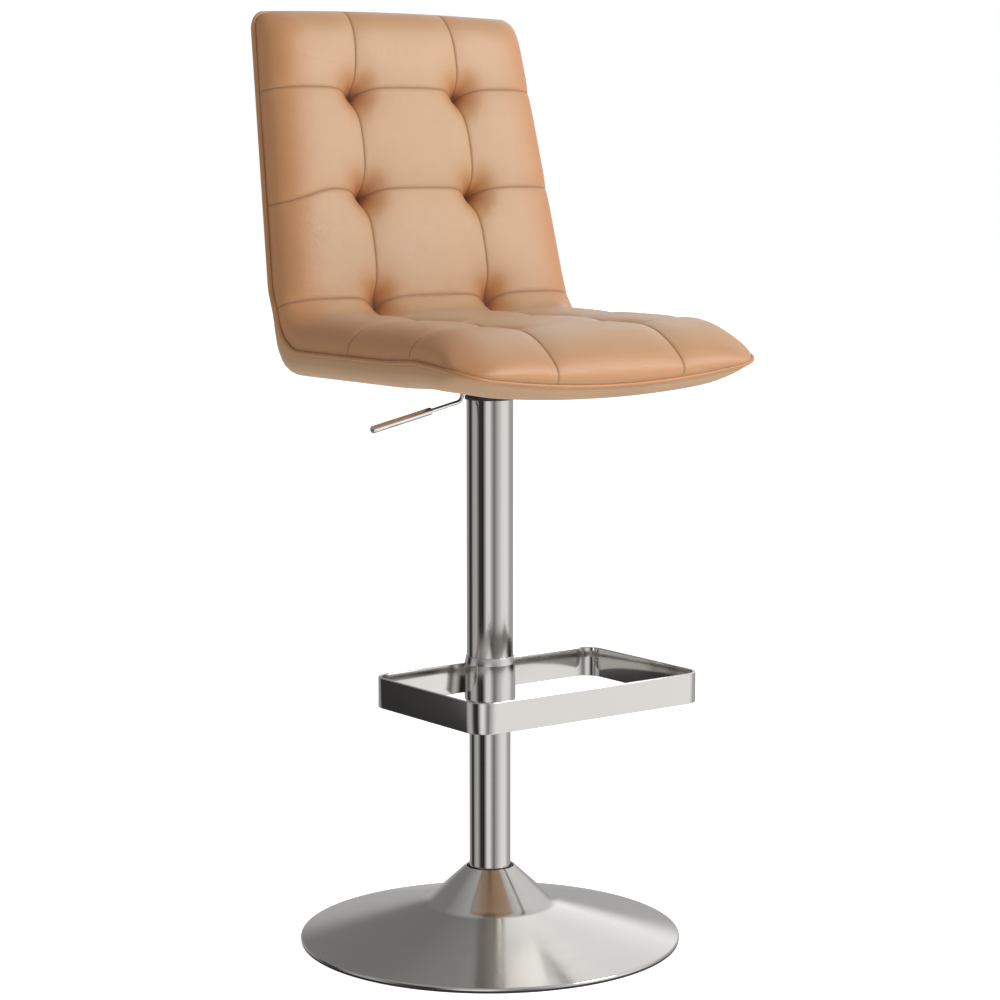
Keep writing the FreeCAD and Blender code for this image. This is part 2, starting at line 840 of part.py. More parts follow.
def lever_route(sketch):
    """The rod's centreline: level over the pin, down past the pan, then out to the grip."""
    knee = Vector(-size("lever_knee_x"), size("lever_height"), 0)
    bend = Vector(-size("lever_bend_x"), size("lever_bend_height"), 0)
    slope = math.radians(size("lever_slope"))
    run = size("lever_reach") - size("lever_bend_x") - size("grip_cap_length") - size("grip_cap_plug")
    end = bend + Vector(-math.cos(slope), -math.sin(slope), 0) * run
    points = [Vector(size("lever_tip"), size("lever_height"), 0), knee, bend, end]
    radius = size("lever_bend_radius")
    starts, stops, arcs = [points[0]], [], []
    for before, corner, after in zip(points, points[1:], points[2:]):
        back, ahead = (before - corner).normalize(), (after - corner).normalize()
        half = back.getAngle(ahead) / 2
        reach = radius / math.tan(half)
        middle = corner + (back + ahead).normalize() * (radius / math.sin(half) - radius)
        stops.append(corner + back * reach)
        starts.append(corner + ahead * reach)
        arcs.append(Part.Arc(stops[-1], middle, starts[-1]))
    stops.append(points[-1])
    lines = [sketch.addGeometry(Part.LineSegment(a, b), False) for a, b in zip(starts, stops)]
    turns = [sketch.addGeometry(arc, False) for arc in arcs]
    corners = [sketch.addGeometry(Part.Point(point), True) for point in (knee, bend)]
    for n, turn in enumerate(turns):
        first_end = 1 if (sketch.getPoint(turn, 1) - stops[n]).Length < NEAR else 2
        sketch.addConstraint(Sketcher.Constraint("Tangent", lines[n], 2, turn, first_end))
        sketch.addConstraint(Sketcher.Constraint("Tangent", turn, 3 - first_end, lines[n + 1], 1))
        index = sketch.addConstraint(Sketcher.Constraint("Radius", turn, radius))
        sketch.setExpression(f"Constraints[{index}]", bound("lever_bend_radius"))
        for line in (lines[n], lines[n + 1]):
            sketch.addConstraint(Sketcher.Constraint("PointOnObject", corners[n], 1, line))
    run_text = f"({LEVER_LENGTH} - grip_cap_length - grip_cap_plug)"
    ends = [
        (lines[0], 1, points[0], "lever_tip", "lever_height"),
        (corners[0], 1, knee, "-lever_knee_x", "lever_height"),
        (corners[1], 1, bend, "-lever_bend_x", "lever_bend_height"),
        (
            lines[2], 2, end,
            f"-lever_bend_x - {run_text} * cos(lever_slope * 1deg)",
            f"lever_bend_height - {run_text} * sin(lever_slope * 1deg)",
        ),
    ]
    for item, point, place, across, along in ends:
        for kind, value, text in (("DistanceX", place.x, across), ("DistanceY", place.y, along)):
            index = sketch.addConstraint(Sketcher.Constraint(kind, -1, 1, item, point, value))
            sketch.setExpression(f"Constraints[{index}]", bound(text))
    return sketch


def make_lever_rod():
    """The bent rod, with a bored boss on its pivot."""
    body = new_body("lever_rod")
    route = lever_route(new_sketch(body, "XZ_Plane"))
    section = draw_circle(new_sketch(body, "YZ_Plane", "lever_tip"), "lever_radius", "0", "lever_height")
    pipe = body.newObject("PartDesign::AdditivePipe", "lever_rod_pipe")
    pipe.Profile = section
    pipe.Spine = (route, [f"Edge{n}" for n in range(1, 6)])
    boss = draw_circle(new_sketch(body, "XZ_Plane"), "lever_boss_radius", "-lever_pivot", "lever_height")
    pad(body, boss, "2 * lever_boss_half", Midplane=True)
    bore = draw_circle(
        new_sketch(body, "XZ_Plane"), "pivot_radius + running_gap", "-lever_pivot", "lever_height"
    )
    pocket(body, bore)
    return body


def on_lever(body):
    """Stand a turned piece on the lever's bend, with its own Z axis along the outer run."""
    body.Placement = Placement(Vector(), Rotation(Vector(0, -1, 0), 90 + size("lever_slope")))
    return bind(
        body,
        Placement__Base__x="-lever_bend_x",
        Placement__Base__z="lever_bend_height",
        Placement__Rotation__Angle="(90 + lever_slope) * 1deg",
    )


def make_lever_grip():
    """The metal sleeve on the lever's outer end."""
    low, high = f"{LEVER_LENGTH} - grip_length", f"{LEVER_LENGTH} - grip_cap_length"
    return on_lever(ring("lever_grip", "lever_radius + press_gap", "grip_radius", low, high))


def make_grip_cap():
    """The rounded plug that closes the end of the sleeve."""
    shoulder = f"({LEVER_LENGTH} - grip_cap_length)"
    return on_lever(
        turned(
            "grip_cap",
            [
                ("0", f"{shoulder} - grip_cap_plug + piece_gap"),
                ("lever_radius", f"{shoulder} - grip_cap_plug + piece_gap"),
                ("lever_radius", shoulder),
                ("grip_radius", shoulder),
                ("grip_radius", f"{LEVER_LENGTH} - grip_cap_length / 2"),
                ("grip_radius / 2", LEVER_LENGTH),
                ("0", LEVER_LENGTH),
            ],
        )
    )


# ---- seat and back ----


def back_line(height, behind="0"):
    """How far back the raked line lies at a height, moved off it by a distance behind."""
    rake = "(back_rake * 1deg)"
    return f"bend_depth + ({height} - board_top) * tan{rake} + ({behind}) / cos{rake}"


def make_layer(label, under, over, ahead, behind, inset, bends, level_top=False):
    """One layer of the seat and back: an L in side view, narrower up the back, with rounded corners.

    under and over are its heights on the seat, ahead and behind its distances off the back's line,
    inset how far it stays inside the outline, and bends the radii inside and outside its bend and,
    where it has one, along its front edge.
    """
    body = new_body(f"{label}_side")
    front, top = f"(-seat_front + ({inset}))", f"(back_top - ({inset}))"
    drop = f"lip_drop * (seat_front - ({inset}) - lip_start) / (seat_front - lip_start)"
    side = draw_outline(
        new_sketch(body, "YZ_Plane"),
        [
            (front, f"{under} - {drop}"),
            ("-lip_start", under),
            (back_line(under, behind), under),
            (back_line(top, behind), top),
            (back_line(top, f"-({ahead})"), top),
            (back_line(over, f"-({ahead})"), over),
            ("-lip_start", over),
            (front, over if level_top else f"{over} - {drop}"),
        ],
    )
    half = f"(seat_half_width - ({inset}))"
    pad(body, side, f"2 * {half}", Midplane=True)
    top_half = f"(back_top_half_width - ({inset}))"
    far, high = f"({half} + seat_front)", "(2 * back_top)"
    face = draw_outline(new_sketch(body, "XZ_Plane"), rectangle(f"-{far}", far, "-back_top", high))
    draw_outline(
        face,
        [
            (f"-{half}", "0"),
            (half, "0"),
            (half, "taper_start"),
            (top_half, top),
            (f"-{top_half}", top),
            (f"-{half}", "taper_start"),
        ],
    )
    pocket(body, face)
    corners = [(line.StartPoint.x, line.StartPoint.y) for line in side.Geometry]

    def along_x(corner):
        def test(edge):
            box = edge.BoundBox
            there = abs(box.Center.y - corners[corner][0]) + abs(box.Center.z - corners[corner][1])
            return box.XLength > 1 and box.YLength + box.ZLength < NEAR and there < NEAR

        return test

    for corner, radius in zip((5, 2, 7), bends):
        round_edges(body, along_x(corner), radius)
    round_edges(
        body,
        lambda edge: edge.BoundBox.XLength + edge.BoundBox.ZLength < NEAR
        and edge.BoundBox.ZMax > corners[3][1] - NEAR,
        f"back_top_corner - ({inset})",
    )
    plan = new_body(f"{label}_plan")
    block = rectangle(f"-{half}", half, front, "seat_front")
    pad(plan, draw_outline(new_sketch(plan, "XY_Plane"), block), high)
    round_edges(plan, lambda edge: upright(edge) and edge.BoundBox.YMax < 0, f"seat_corner - ({inset})")
    return boolean("Common", label, body, plan)


def make_seat_board():
    """The bent plywood board inside the seat and back, with holes for the flanged nuts."""
    inset = "cover_skin + piece_gap"
    bends = ("bend_radius", "bend_radius + board_thickness")
    board = make_layer("board_blank", BOARD_UNDER, "board_top", "0", "board_thickness", inset, bends)
    return cut("seat_board", board, bolt_clearance("board", BOARD_UNDER, "board_thickness"))


def bolt_clearance(name, low, height):
    """Plugs the size of the flanged nuts and their barrels, or of the bolts alone, to cut a layer with."""
    pieces = []
    for n, (x, y) in enumerate(BOLT_CORNERS, start=1):
        radius = "nut_barrel_radius" if name == "board" else "bolt_radius"
        pieces.append(
            primitive(
                "Cylinder", f"{name}_hole_{n}", x, y, f"{low} - cut_past",
                Radius=f"{radius} + press_gap", Height=f"{height} + 2 * cut_past",
            )
        )
        if name == "board":
            pieces.append(
                primitive(
                    "Cylinder", f"{name}_recess_{n}", x, y, "board_top - nut_flange_thickness - press_gap",
                    Radius="nut_flange_radius + press_gap", Height="nut_flange_thickness + cut_past",
                )
            )
    return combined("MultiFuse", f"{name}_holes", pieces)


def make_outer_cover():
    """The padded skin below and behind the board: a tray whose rim reaches the seam with the cushion."""
    rear = "board_thickness + cover_skin"
    outside = make_layer(
        "cover_outside", SEAT_UNDER, "board_top", "0", rear, "0", ("bend_radius", f"bend_radius + {rear}")
    )
    reach = "2 * cover_skin"
    inside = make_layer(
        "cover_inside",
        BOARD_UNDER,
        f"board_top + {reach}",
        reach,
        "board_thickness",
        "cover_skin",
        (f"bend_radius - {reach}", "bend_radius + board_thickness"),
    )
    tray = cut("cover_tray", outside, inside)
    return cut("outer_cover", tray, bolt_clearance("cover", SEAT_UNDER, "cover_under_pad"))


def make_tufted_cushion():
    """The stuffed pad on the seat and up the back, rounded along its front edge."""
    return make_layer(
        "tufted_cushion",
        "board_top",
        "board_top + cushion_seat_depth",
        "cushion_back_depth",
        "0",
        "0",
        ("cushion_bend_radius", "bend_radius", "cushion_edge"),
        level_top=True,
    )


def make_welt_piping():
    """The corded seam that runs round the whole outline, between the cushion and its outer cover."""
    out = "-welt_out"
    ring_outside = make_layer(
        "welt_outside", "(board_top - welt_half)", "board_top + welt_half", "welt_half", "welt_half", out,
        ("bend_radius - welt_half", "bend_radius + welt_half"),
    )
    reach = "(2 * welt_half)"
    ring_inside = make_layer(
        "welt_inside", f"(board_top - {reach})", f"board_top + {reach}", reach, reach, "0",
        (f"bend_radius - {reach}", f"bend_radius + {reach}"),
    )
    return cut("welt_piping", ring_outside, ring_inside)


PIECES = [
    make_floor_ring,
    make_base_cover,
    make_ballast_disc,
    make_hub_socket,
    make_column_tube,
    make_column_foot,
    make_dust_seal,
    make_guide_bush,
    make_lower_race,
    make_clip_washer,
    make_bearing_balls,
    make_bearing_cage,
    make_upper_race,
    make_rubber_buffer,
    make_retaining_clip,
    make_piston_rod,
    make_piston_head,
    make_gas_cylinder,
    make_rod_gland,
    make_valve_body,
    make_release_pin,
    make_seat_pan,
    make_seat_hub,
    make_seat_bolts,
    make_bolt_washers,
    make_tee_nuts,
    make_shroud_tube,
    make_shroud_top_bush,
    make_shroud_liner,
    make_footrest_collar,
    make_footrest_loop,
    make_lever_bracket,
    make_pivot_pin,
    make_lever_rod,
    make_lever_grip,
    make_grip_cap,
    make_seat_board,
    make_outer_cover,
    make_tufted_cushion,
    make_welt_piping,
]

pieces = [make() for make in PIECES]
document.recompute()

for item in document.Objects:
    if {"Invalid", "Error"} & set(item.State):
        raise RuntimeError(f"{item.Label} failed: {item.State}")
for piece in pieces:
    if piece.Shape.isNull() or not piece.Shape.isValid() or not piece.Shape.Solids:
        raise RuntimeError(f"{piece.Label} has no valid solid")

os.makedirs("parts", exist_ok=True)
for piece in pieces:
    piece.Shape.exportStep(f"parts/{piece.Label}.step")
    print(f"{piece.Label}: {len(piece.Shape.Solids)} solid(s), {piece.Shape.Volume / 1000:.1f} cm3")
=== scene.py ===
"""Visual model of a swivel bar stool: a tufted seat and back over a gas-lift column on a round base.

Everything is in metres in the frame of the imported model: the origin is the centre of the base on the
floor, +Z is up and the sitter faces -Y.
"""

from __future__ import annotations

import json
import logging
import math
from bisect import bisect_right
from dataclasses import dataclass, field
from enum import Enum
from typing import Callable, Iterable, Sequence

import bmesh
import bpy
from mathutils import Matrix, Vector, noise

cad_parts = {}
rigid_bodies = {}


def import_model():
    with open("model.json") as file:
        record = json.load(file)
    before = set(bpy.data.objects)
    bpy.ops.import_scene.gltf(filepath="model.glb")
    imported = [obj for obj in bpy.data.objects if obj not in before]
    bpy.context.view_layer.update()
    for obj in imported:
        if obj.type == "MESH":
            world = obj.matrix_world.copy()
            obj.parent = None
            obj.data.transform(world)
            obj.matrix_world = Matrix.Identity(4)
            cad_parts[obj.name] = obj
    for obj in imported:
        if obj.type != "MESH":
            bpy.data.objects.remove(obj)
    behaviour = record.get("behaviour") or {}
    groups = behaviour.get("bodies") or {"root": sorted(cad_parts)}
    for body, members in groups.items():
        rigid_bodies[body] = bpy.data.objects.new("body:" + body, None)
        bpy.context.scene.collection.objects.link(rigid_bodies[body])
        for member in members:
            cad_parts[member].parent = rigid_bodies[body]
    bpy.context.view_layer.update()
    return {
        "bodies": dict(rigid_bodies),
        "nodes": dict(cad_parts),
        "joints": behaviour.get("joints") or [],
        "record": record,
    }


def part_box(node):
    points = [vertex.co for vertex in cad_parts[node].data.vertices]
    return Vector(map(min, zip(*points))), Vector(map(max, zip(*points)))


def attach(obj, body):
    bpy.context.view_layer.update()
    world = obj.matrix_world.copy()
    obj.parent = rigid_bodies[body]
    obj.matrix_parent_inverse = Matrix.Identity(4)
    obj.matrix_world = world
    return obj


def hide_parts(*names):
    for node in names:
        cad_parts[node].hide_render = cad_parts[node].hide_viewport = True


log = logging.getLogger("bar_stool")

MM = 0.001


# ---------------------------------------------------------------- outlines


@dataclass(frozen=True)
class Corner:
    """A corner of an outline.

    Attributes:
        across: Its first coordinate.
        up: Its second coordinate.
        radius: How far it is rounded.
    """

    across: float
    up: float
    radius: float = 0.0


class Outline:
    """Straight runs joined by round corners, read by the distance along them."""

    def __init__(self, corners: Sequence[Corner], closed: bool = False, turn: float = 4.0) -> None:
        """Lay the outline out.

        Args:
            corners: Its corners in order.
            closed: Whether the last corner joins the first.
            turn: Largest angle in degrees between two neighbouring points of a round.
        """
        self.closed = closed
        self.points: list[Vector] = []
        count = len(corners)
        for n, corner in enumerate(corners):
            here = Vector((corner.across, corner.up))
            if corner.radius == 0 or (not closed and n in (0, count - 1)):
                self.points.append(here)
                continue
            before, after = corners[n - 1], corners[(n + 1) % count]
            self.points += self._round(here, before, after, corner.radius, math.radians(turn))
        if closed:
            self.points.append(self.points[0].copy())
        self.marks = [0.0]
        for a, b in zip(self.points, self.points[1:]):
            self.marks.append(self.marks[-1] + (b - a).length)
        self.length = self.marks[-1]

    @staticmethod
    def _round(here: Vector, before: Corner, after: Corner, radius: float, turn: float) -> list[Vector]:
        """Points of the arc that rounds one corner."""
        back = (Vector((before.across, before.up)) - here).normalized()
        ahead = (Vector((after.across, after.up)) - here).normalized()
        half = back.angle(ahead) / 2
        centre = here + (back + ahead).normalized() * (radius / math.sin(half))
        start = here + back * (radius / math.tan(half)) - centre
        sweep = math.pi - 2 * half
        sense = 1.0 if back.cross(ahead) < 0 else -1.0
        steps = max(2, math.ceil(sweep / turn))
        return [centre + Matrix.Rotation(sense * sweep * k / steps, 2) @ start for k in range(steps + 1)]

    def at(self, distance: float) -> Vector:
        """The point at a distance along the outline."""
        k = min(max(bisect_right(self.marks, distance) - 1, 0), len(self.points) - 2)
        share = (distance - self.marks[k]) / (self.marks[k + 1] - self.marks[k])
        return self.points[k].lerp(self.points[k + 1], share)

    def ahead(self, distance: float) -> Vector:
        """The direction of the outline at a distance along it."""
        reach = 2 * MM
        return (self.at(distance + reach) - self.at(distance - reach)).normalized()

    def nearest(self, point: Vector) -> float:
        """The distance along the outline at which it comes nearest a point."""
        best, found = math.inf, 0.0
        for a, b, mark in zip(self.points, self.points[1:], self.marks):
            run = b - a
            share = min(max((point - a).dot(run) / run.length_squared, 0.0), 1.0)
            gap = (a + run * share - point).length
            if gap < best:
                best, found = gap, mark + share * run.length
        return found


def eased(value: float) -> float:
    """A smooth step from 0 to 1 as value goes from 0 to 1."""
    held = min(max(value, 0.0), 1.0)
    return held * held * (3 - 2 * held)


# ---------------------------------------------------------------- shader wiring


class Wiring:
    """A shader node tree under construction."""

    def __init__(self, tree: bpy.types.NodeTree) -> None:
        """Take the tree that the nodes go in."""
        self.tree = tree

    def node(self, kind: str, **settings: object) -> bpy.types.Node:
        """Add a node.

        Args:
            kind: Its type, without the ShaderNode prefix.
            **settings: Properties to set on it.

        Returns:
            The new node.
        """
        made = self.tree.nodes.new(f"ShaderNode{kind}")
        for name, value in settings.items():
            setattr(made, name, value)
        return made

    def feed(self, socket: bpy.types.NodeSocket, value: object) -> None:
        """Link a socket to another one, or give it a plain value."""
        if isinstance(value, bpy.types.NodeSocket):
            self.tree.links.new(value, socket)
        else:
            socket.default_value = value

    def maths(self, operation: str, *values: object, clamp: bool = False) -> bpy.types.NodeSocket:
        """The result of a Math node over sockets or numbers."""
        made = self.node("Math", operation=operation, use_clamp=clamp)
        for socket, value in zip(made.inputs, values):
            self.feed(socket, value)
        return made.outputs[0]

    def blend(self, share: object, first: object, second: object, how: str = "MIX") -> bpy.types.NodeSocket:
        """A colour mixed from two others."""
        made = self.node("Mix", data_type="RGBA", blend_type=how)
        self.feed(made.inputs[0], share)
        self.feed(made.inputs[6], first)
        self.feed(made.inputs[7], second)
        return made.outputs[2]

    def speckle(self, place: object, scale: float, detail: float = 3.0) -> bpy.types.NodeSocket:
        """Smooth noise from 0 to 1."""
        made = self.node("TexNoise")
        self.feed(made.inputs["Vector"], place)
        made.inputs["Scale"].default_value = scale
        made.inputs["Detail"].default_value = detail
        return made.outputs["Fac"]

    def place(self) -> bpy.types.NodeSocket:
        """Object coordinates, in metres."""
        return self.node("TexCoord").outputs["Object"]

    def ramp(self, value: object, low: float, high: float) -> bpy.types.NodeSocket:
        """A value stretched so that low becomes 0 and high becomes 1, and held there."""
        made = self.node("MapRange")
        made.inputs["From Min"].default_value = low
        made.inputs["From Max"].default_value = high
        self.feed(made.inputs["Value"], value)
        return made.outputs["Result"]


class Effect(Enum):
    """Surface effects that several finishes share, each built once as a node group."""

    HIDE_GRAIN = "hide_grain"
    BRUSH_LINES = "brush_lines"
    HANDLING = "handling"
    EDGE_SHINE = "edge_wear_and_highlight"


class EffectShop:
    """Builds each shared effect the first time that it is asked for."""

    INPUTS = {
        Effect.HIDE_GRAIN: {"Cell": 900.0, "Creasing": 0.5},
        Effect.BRUSH_LINES: {"Round": 1.0, "Fineness": 2600.0},
        Effect.HANDLING: {"Patch": 9.0},
        Effect.EDGE_SHINE: {"Low": 0.5, "High": 0.56},
    }
    OUTPUTS = {
        Effect.HIDE_GRAIN: ("Height", "Mottle"),
        Effect.BRUSH_LINES: ("Height", "Streak"),
        Effect.HANDLING: ("Smear",),
        Effect.EDGE_SHINE: ("Mask",),
    }

    def __init__(self) -> None:
        """Start with no effect built."""
        self.built: dict[Effect, bpy.types.NodeTree] = {}

    def group(self, effect: Effect) -> bpy.types.NodeTree:
        """The node group of an effect."""
        if effect not in self.built:
            tree = bpy.data.node_groups.new(effect.value, "ShaderNodeTree")
            for name, value in self.INPUTS[effect].items():
                socket = tree.interface.new_socket(name, in_out="INPUT", socket_type="NodeSocketFloat")
                socket.default_value = value
            for name in self.OUTPUTS[effect]:
                tree.interface.new_socket(name, in_out="OUTPUT", socket_type="NodeSocketFloat")
            wires = Wiring(tree)
            given = tree.nodes.new("NodeGroupInput").outputs
            results = getattr(self, f"_{effect.value}")(wires, given)
            out = tree.nodes.new("NodeGroupOutput")
            for socket, value in zip(out.inputs, results):
                wires.feed(socket, value)
            self.built[effect] = tree
        return self.built[effect]

    def placed(self, wires: Wiring, effect: Effect, **values: float) -> bpy.types.bpy_prop_collection:
        """Put an effect into a material.

        Args:
            wires: The material's wiring.
            effect: Which effect.
            **values: Its inputs, by name.

        Returns:
            The outputs of the group's node.
        """
        made = wires.node("Group", node_tree=self.group(effect))
        for name, value in values.items():
            made.inputs[name].default_value = value
        return made.outputs

    @staticmethod
    def _hide_grain(wires: Wiring, given: bpy.types.bpy_prop_collection) -> tuple:
        """Pebbled cells with fine creases between them, and soft cloudiness in the dye."""
        place = wires.place()
        warp = wires.node("TexNoise")
        wires.feed(warp.inputs["Vector"], place)
        warp.inputs["Scale"].default_value = 260.0
        bent = wires.node("VectorMath", operation="MULTIPLY_ADD")
        wires.feed(bent.inputs[0], warp.outputs["Color"])
        bent.inputs[1].default_value = (0.0012, 0.0012, 0.0012)
        wires.feed(bent.inputs[2], place)
        cells = wires.node("TexVoronoi", feature="DISTANCE_TO_EDGE")
        wires.feed(cells.inputs["Vector"], bent.outputs[0])
        wires.feed(cells.inputs["Scale"], given["Cell"])
        pebble = wires.maths("POWER", wires.ramp(cells.outputs["Distance"], 0.0, 0.35), 0.6)
        fine = wires.speckle(place, 2400.0)
        folds = wires.node("TexNoise")
        wires.feed(folds.inputs["Vector"], place)
        folds.inputs["Scale"].default_value = 34.0
        folds.inputs["Detail"].default_value = 5.0
        fold = wires.maths("MULTIPLY", folds.outputs["Fac"], given["Creasing"])
        height = wires.maths("ADD", wires.maths("MULTIPLY_ADD", fine, 0.25, pebble), fold)
        cloud = wires.maths("MULTIPLY_ADD", wires.speckle(place, 9.0, 2.0), 0.7, wires.maths("MULTIPLY", fine, 0.3))
        return height, cloud

    @staticmethod
    def _brush_lines(wires: Wiring, given: bpy.types.bpy_prop_collection) -> tuple:
        """Fine scratches round the Z axis, or along the piece where Round is 0."""
        split = wires.node("SeparateXYZ")
        wires.feed(split.inputs[0], wires.place())
        x, y, z = split.outputs
        reach = wires.maths("SQRT", wires.maths("ADD", wires.maths("POWER", x, 2.0), wires.maths("POWER", y, 2.0)))
        angle = wires.maths("ARCTAN2", y, x)
        turned = wires.node("CombineXYZ")
        wires.feed(turned.inputs[0], wires.maths("MULTIPLY", angle, 3.0))
        wires.feed(turned.inputs[1], wires.maths("MULTIPLY", reach, given["Fineness"]))
        wires.feed(turned.inputs[2], wires.maths("MULTIPLY", z, given["Fineness"]))
        along = wires.node("CombineXYZ")
        wires.feed(along.inputs[0], wires.maths("MULTIPLY", x, 30.0))
        wires.feed(along.inputs[1], wires.maths("MULTIPLY", y, 30.0))
        wires.feed(along.inputs[2], wires.maths("MULTIPLY", z, given["Fineness"]))
        chosen = wires.node("Mix", data_type="VECTOR")
        wires.feed(chosen.inputs[0], given["Round"])
        wires.feed(chosen.inputs[4], along.outputs[0])
        wires.feed(chosen.inputs[5], turned.outputs[0])
        lines = wires.speckle(chosen.outputs[1], 1.0, 4.0)
        broad = wires.speckle(chosen.outputs[1], 0.22, 2.0)
        return lines, wires.maths("MULTIPLY_ADD", broad, 0.6, wires.maths("MULTIPLY", lines, 0.4))

    @staticmethod
    def _handling(wires: Wiring, given: bpy.types.bpy_prop_collection) -> tuple:
        """Faint smears that dull or polish a surface in patches."""
        place = wires.place()
        made = wires.node("TexNoise")
        wires.feed(made.inputs["Vector"], place)
        wires.feed(made.inputs["Scale"], given["Patch"])
        made.inputs["Detail"].default_value = 4.0
        made.inputs["Distortion"].default_value = 0.6
        return (wires.ramp(made.outputs["Fac"], 0.3, 0.75),)

    @staticmethod
    def _edge_wear_and_highlight(wires: Wiring, given: bpy.types.bpy_prop_collection) -> tuple:
        """Where the surface turns over an edge: steel finishes paint a highlight there, moulded finishes paler
        wear.
        """
        bend = wires.node("NewGeometry").outputs["Pointiness"]
        made = wires.node("MapRange")
        wires.feed(made.inputs["Value"], bend)
        wires.feed(made.inputs["From Min"], given["Low"])
        wires.feed(made.inputs["From Max"], given["High"])
        return (made.outputs["Result"],)


# ---------------------------------------------------------------- finishes


Tone = tuple[float, float, float]


def rgba(tone: Tone) -> tuple[float, float, float, float]:
    """A tone as an opaque colour."""
    return (*tone, 1.0)


@dataclass(frozen=True)
class Finish:
    """What every finish has.

    Attributes:
        slot: The record's material slot.
        tone: Its linear colour.
        roughness: Its mean roughness.
    """

    slot: str
    tone: Tone
    roughness: float

    def begin(self) -> tuple[bpy.types.Material, Wiring, bpy.types.Node]:
        """A new material with its wiring and its shader."""
        material = bpy.data.materials.new(self.slot)
        material.use_nodes = True
        wires = Wiring(material.node_tree)
        shader = material.node_tree.nodes["Principled BSDF"]
        wires.feed(shader.inputs["Base Color"], rgba(self.tone))
        wires.feed(shader.inputs["Roughness"], self.roughness)
        return material, wires, shader

    def vary_roughness(self, wires: Wiring, shader: bpy.types.Node, mask: object, swing: float) -> None:
        """Let the roughness follow a mask, by swing either side of its mean."""
        value = wires.maths("MULTIPLY_ADD", mask, 2 * swing, self.roughness - swing, clamp=True)
        wires.feed(shader.inputs["Roughness"], value)

    def bump(self, wires: Wiring, shader: bpy.types.Node, height: object, depth: float) -> None:
        """Raise the surface by a height of up to depth."""
        made = wires.node("Bump")
        made.inputs["Strength"].default_value = 1.0
        made.inputs["Distance"].default_value = depth
        wires.feed(made.inputs["Height"], height)
        wires.feed(shader.inputs["Normal"], made.outputs["Normal"])

    def material(self, shop: EffectShop) -> bpy.types.Material:
        """The finished material."""
        raise NotImplementedError


class Brushing(Enum):
    """How a metal was brushed."""

    ROUND = 1.0
    ALONG = 0.0


@dataclass(frozen=True)
class SteelFinish(Finish):
    """Bare, plated or brushed metal.

    Attributes:
        brushing: Which way its fine lines run.
        line_depth: How deep they are.
        stretch: How much they stretch its highlights.
        patchiness: How much handling varies its gloss.
    """

    brushing: Brushing = Brushing.ROUND
    line_depth: float = 0.01 * MM
    stretch: float = 0.0
    patchiness: float = 0.04

    def material(self, shop: EffectShop) -> bpy.types.Material:
        """Metal with brushed lines, a painted highlight on its edges and faint smears."""
        material, wires, shader = self.begin()
        lines = shop.placed(wires, Effect.BRUSH_LINES, Round=self.brushing.value)
        smear = shop.placed(wires, Effect.HANDLING)["Smear"]
        edge = shop.placed(wires, Effect.EDGE_SHINE)["Mask"]
        dark = tuple(0.9 * part for part in self.tone)
        # A painted highlight: the tone lightens where the surface turns over an edge.
        light = tuple(min(1.0, 1.12 * part) for part in self.tone)
        body = wires.blend(lines["Streak"], rgba(dark), rgba(self.tone))
        wires.feed(shader.inputs["Base Color"], wires.blend(edge, body, rgba(light)))
        shader.inputs["Metallic"].default_value = 1.0
        if self.stretch:
            shader.inputs["Anisotropic"].default_value = self.stretch
            shader.inputs["Anisotropic Rotation"].default_value = 0.25
            tangent = wires.node("Tangent", direction_type="RADIAL", axis="Z")
            wires.feed(shader.inputs["Tangent"], tangent.outputs[0])
        self.vary_roughness(wires, shader, smear, self.patchiness)
        self.bump(wires, shader, lines["Height"], self.line_depth)
        return material


@dataclass(frozen=True)
class LeatherFinish(Finish):
    """Dyed, pigmented leather with a soft grain.

    Attributes:
        shaded_tone: The deeper, more saturated tone of painted shade, used in the tufts and down the pad's edges.
        shade: The painted crease shadow along its seams.
        tuft_shadow: The darkest tone: a painted shadow at the bottom of a tuft.
        grain_depth: How deep its grain is.
    """

    shaded_tone: Tone = (0.52, 0.195, 0.055)
    shade: Tone = (0.27, 0.13, 0.06)
    tuft_shadow: Tone = (0.16, 0.055, 0.018)
    grain_depth: float = 0.12 * MM

    def material(self, shop: EffectShop) -> bpy.types.Material:
        """Leather with a painted crease shadow along its seams, painted shade in and round the tufts and down the
        pad's edges, and a painted shadow at the bottom of each tuft.
        """
        material, wires, shader = self.begin()
        grain = shop.placed(wires, Effect.HIDE_GRAIN)
        seam = wires.node("Attribute", attribute_name="seam").outputs["Fac"]
        painted_shade = wires.node("Attribute", attribute_name="painted_shade").outputs["Fac"]
        deep = tuple(0.9 * part for part in self.tone)
        dyed = wires.blend(wires.ramp(grain["Mottle"], 0.3, 0.75), rgba(deep), rgba(self.tone))
        # Painted shade: the colour moves toward the shaded tone in the tufts and down the pad's edges.
        shade_painted = wires.blend(painted_shade, dyed, rgba(self.shaded_tone))
        # Painted shadow at the bottom of each tuft.
        tuft_shadow = wires.node("Attribute", attribute_name="tuft_shadow").outputs["Fac"]
        dark = wires.blend(wires.maths("MULTIPLY", tuft_shadow, 0.85), shade_painted, rgba(self.tuft_shadow))
        # Painted crease shadow along the seams.
        line = wires.maths("MULTIPLY", seam, 0.9)
        wires.feed(shader.inputs["Base Color"], wires.blend(line, dark, rgba(self.shade)))
        smear = shop.placed(wires, Effect.HANDLING, Patch=6.0)["Smear"]
        self.vary_roughness(wires, shader, smear, 0.05)
        shader.inputs["Specular IOR Level"].default_value = 0.6
        shader.inputs["Sheen Weight"].default_value = 0.15
        shader.inputs["Sheen Roughness"].default_value = 0.5
        self.bump(wires, shader, grain["Height"], self.grain_depth)
        return material


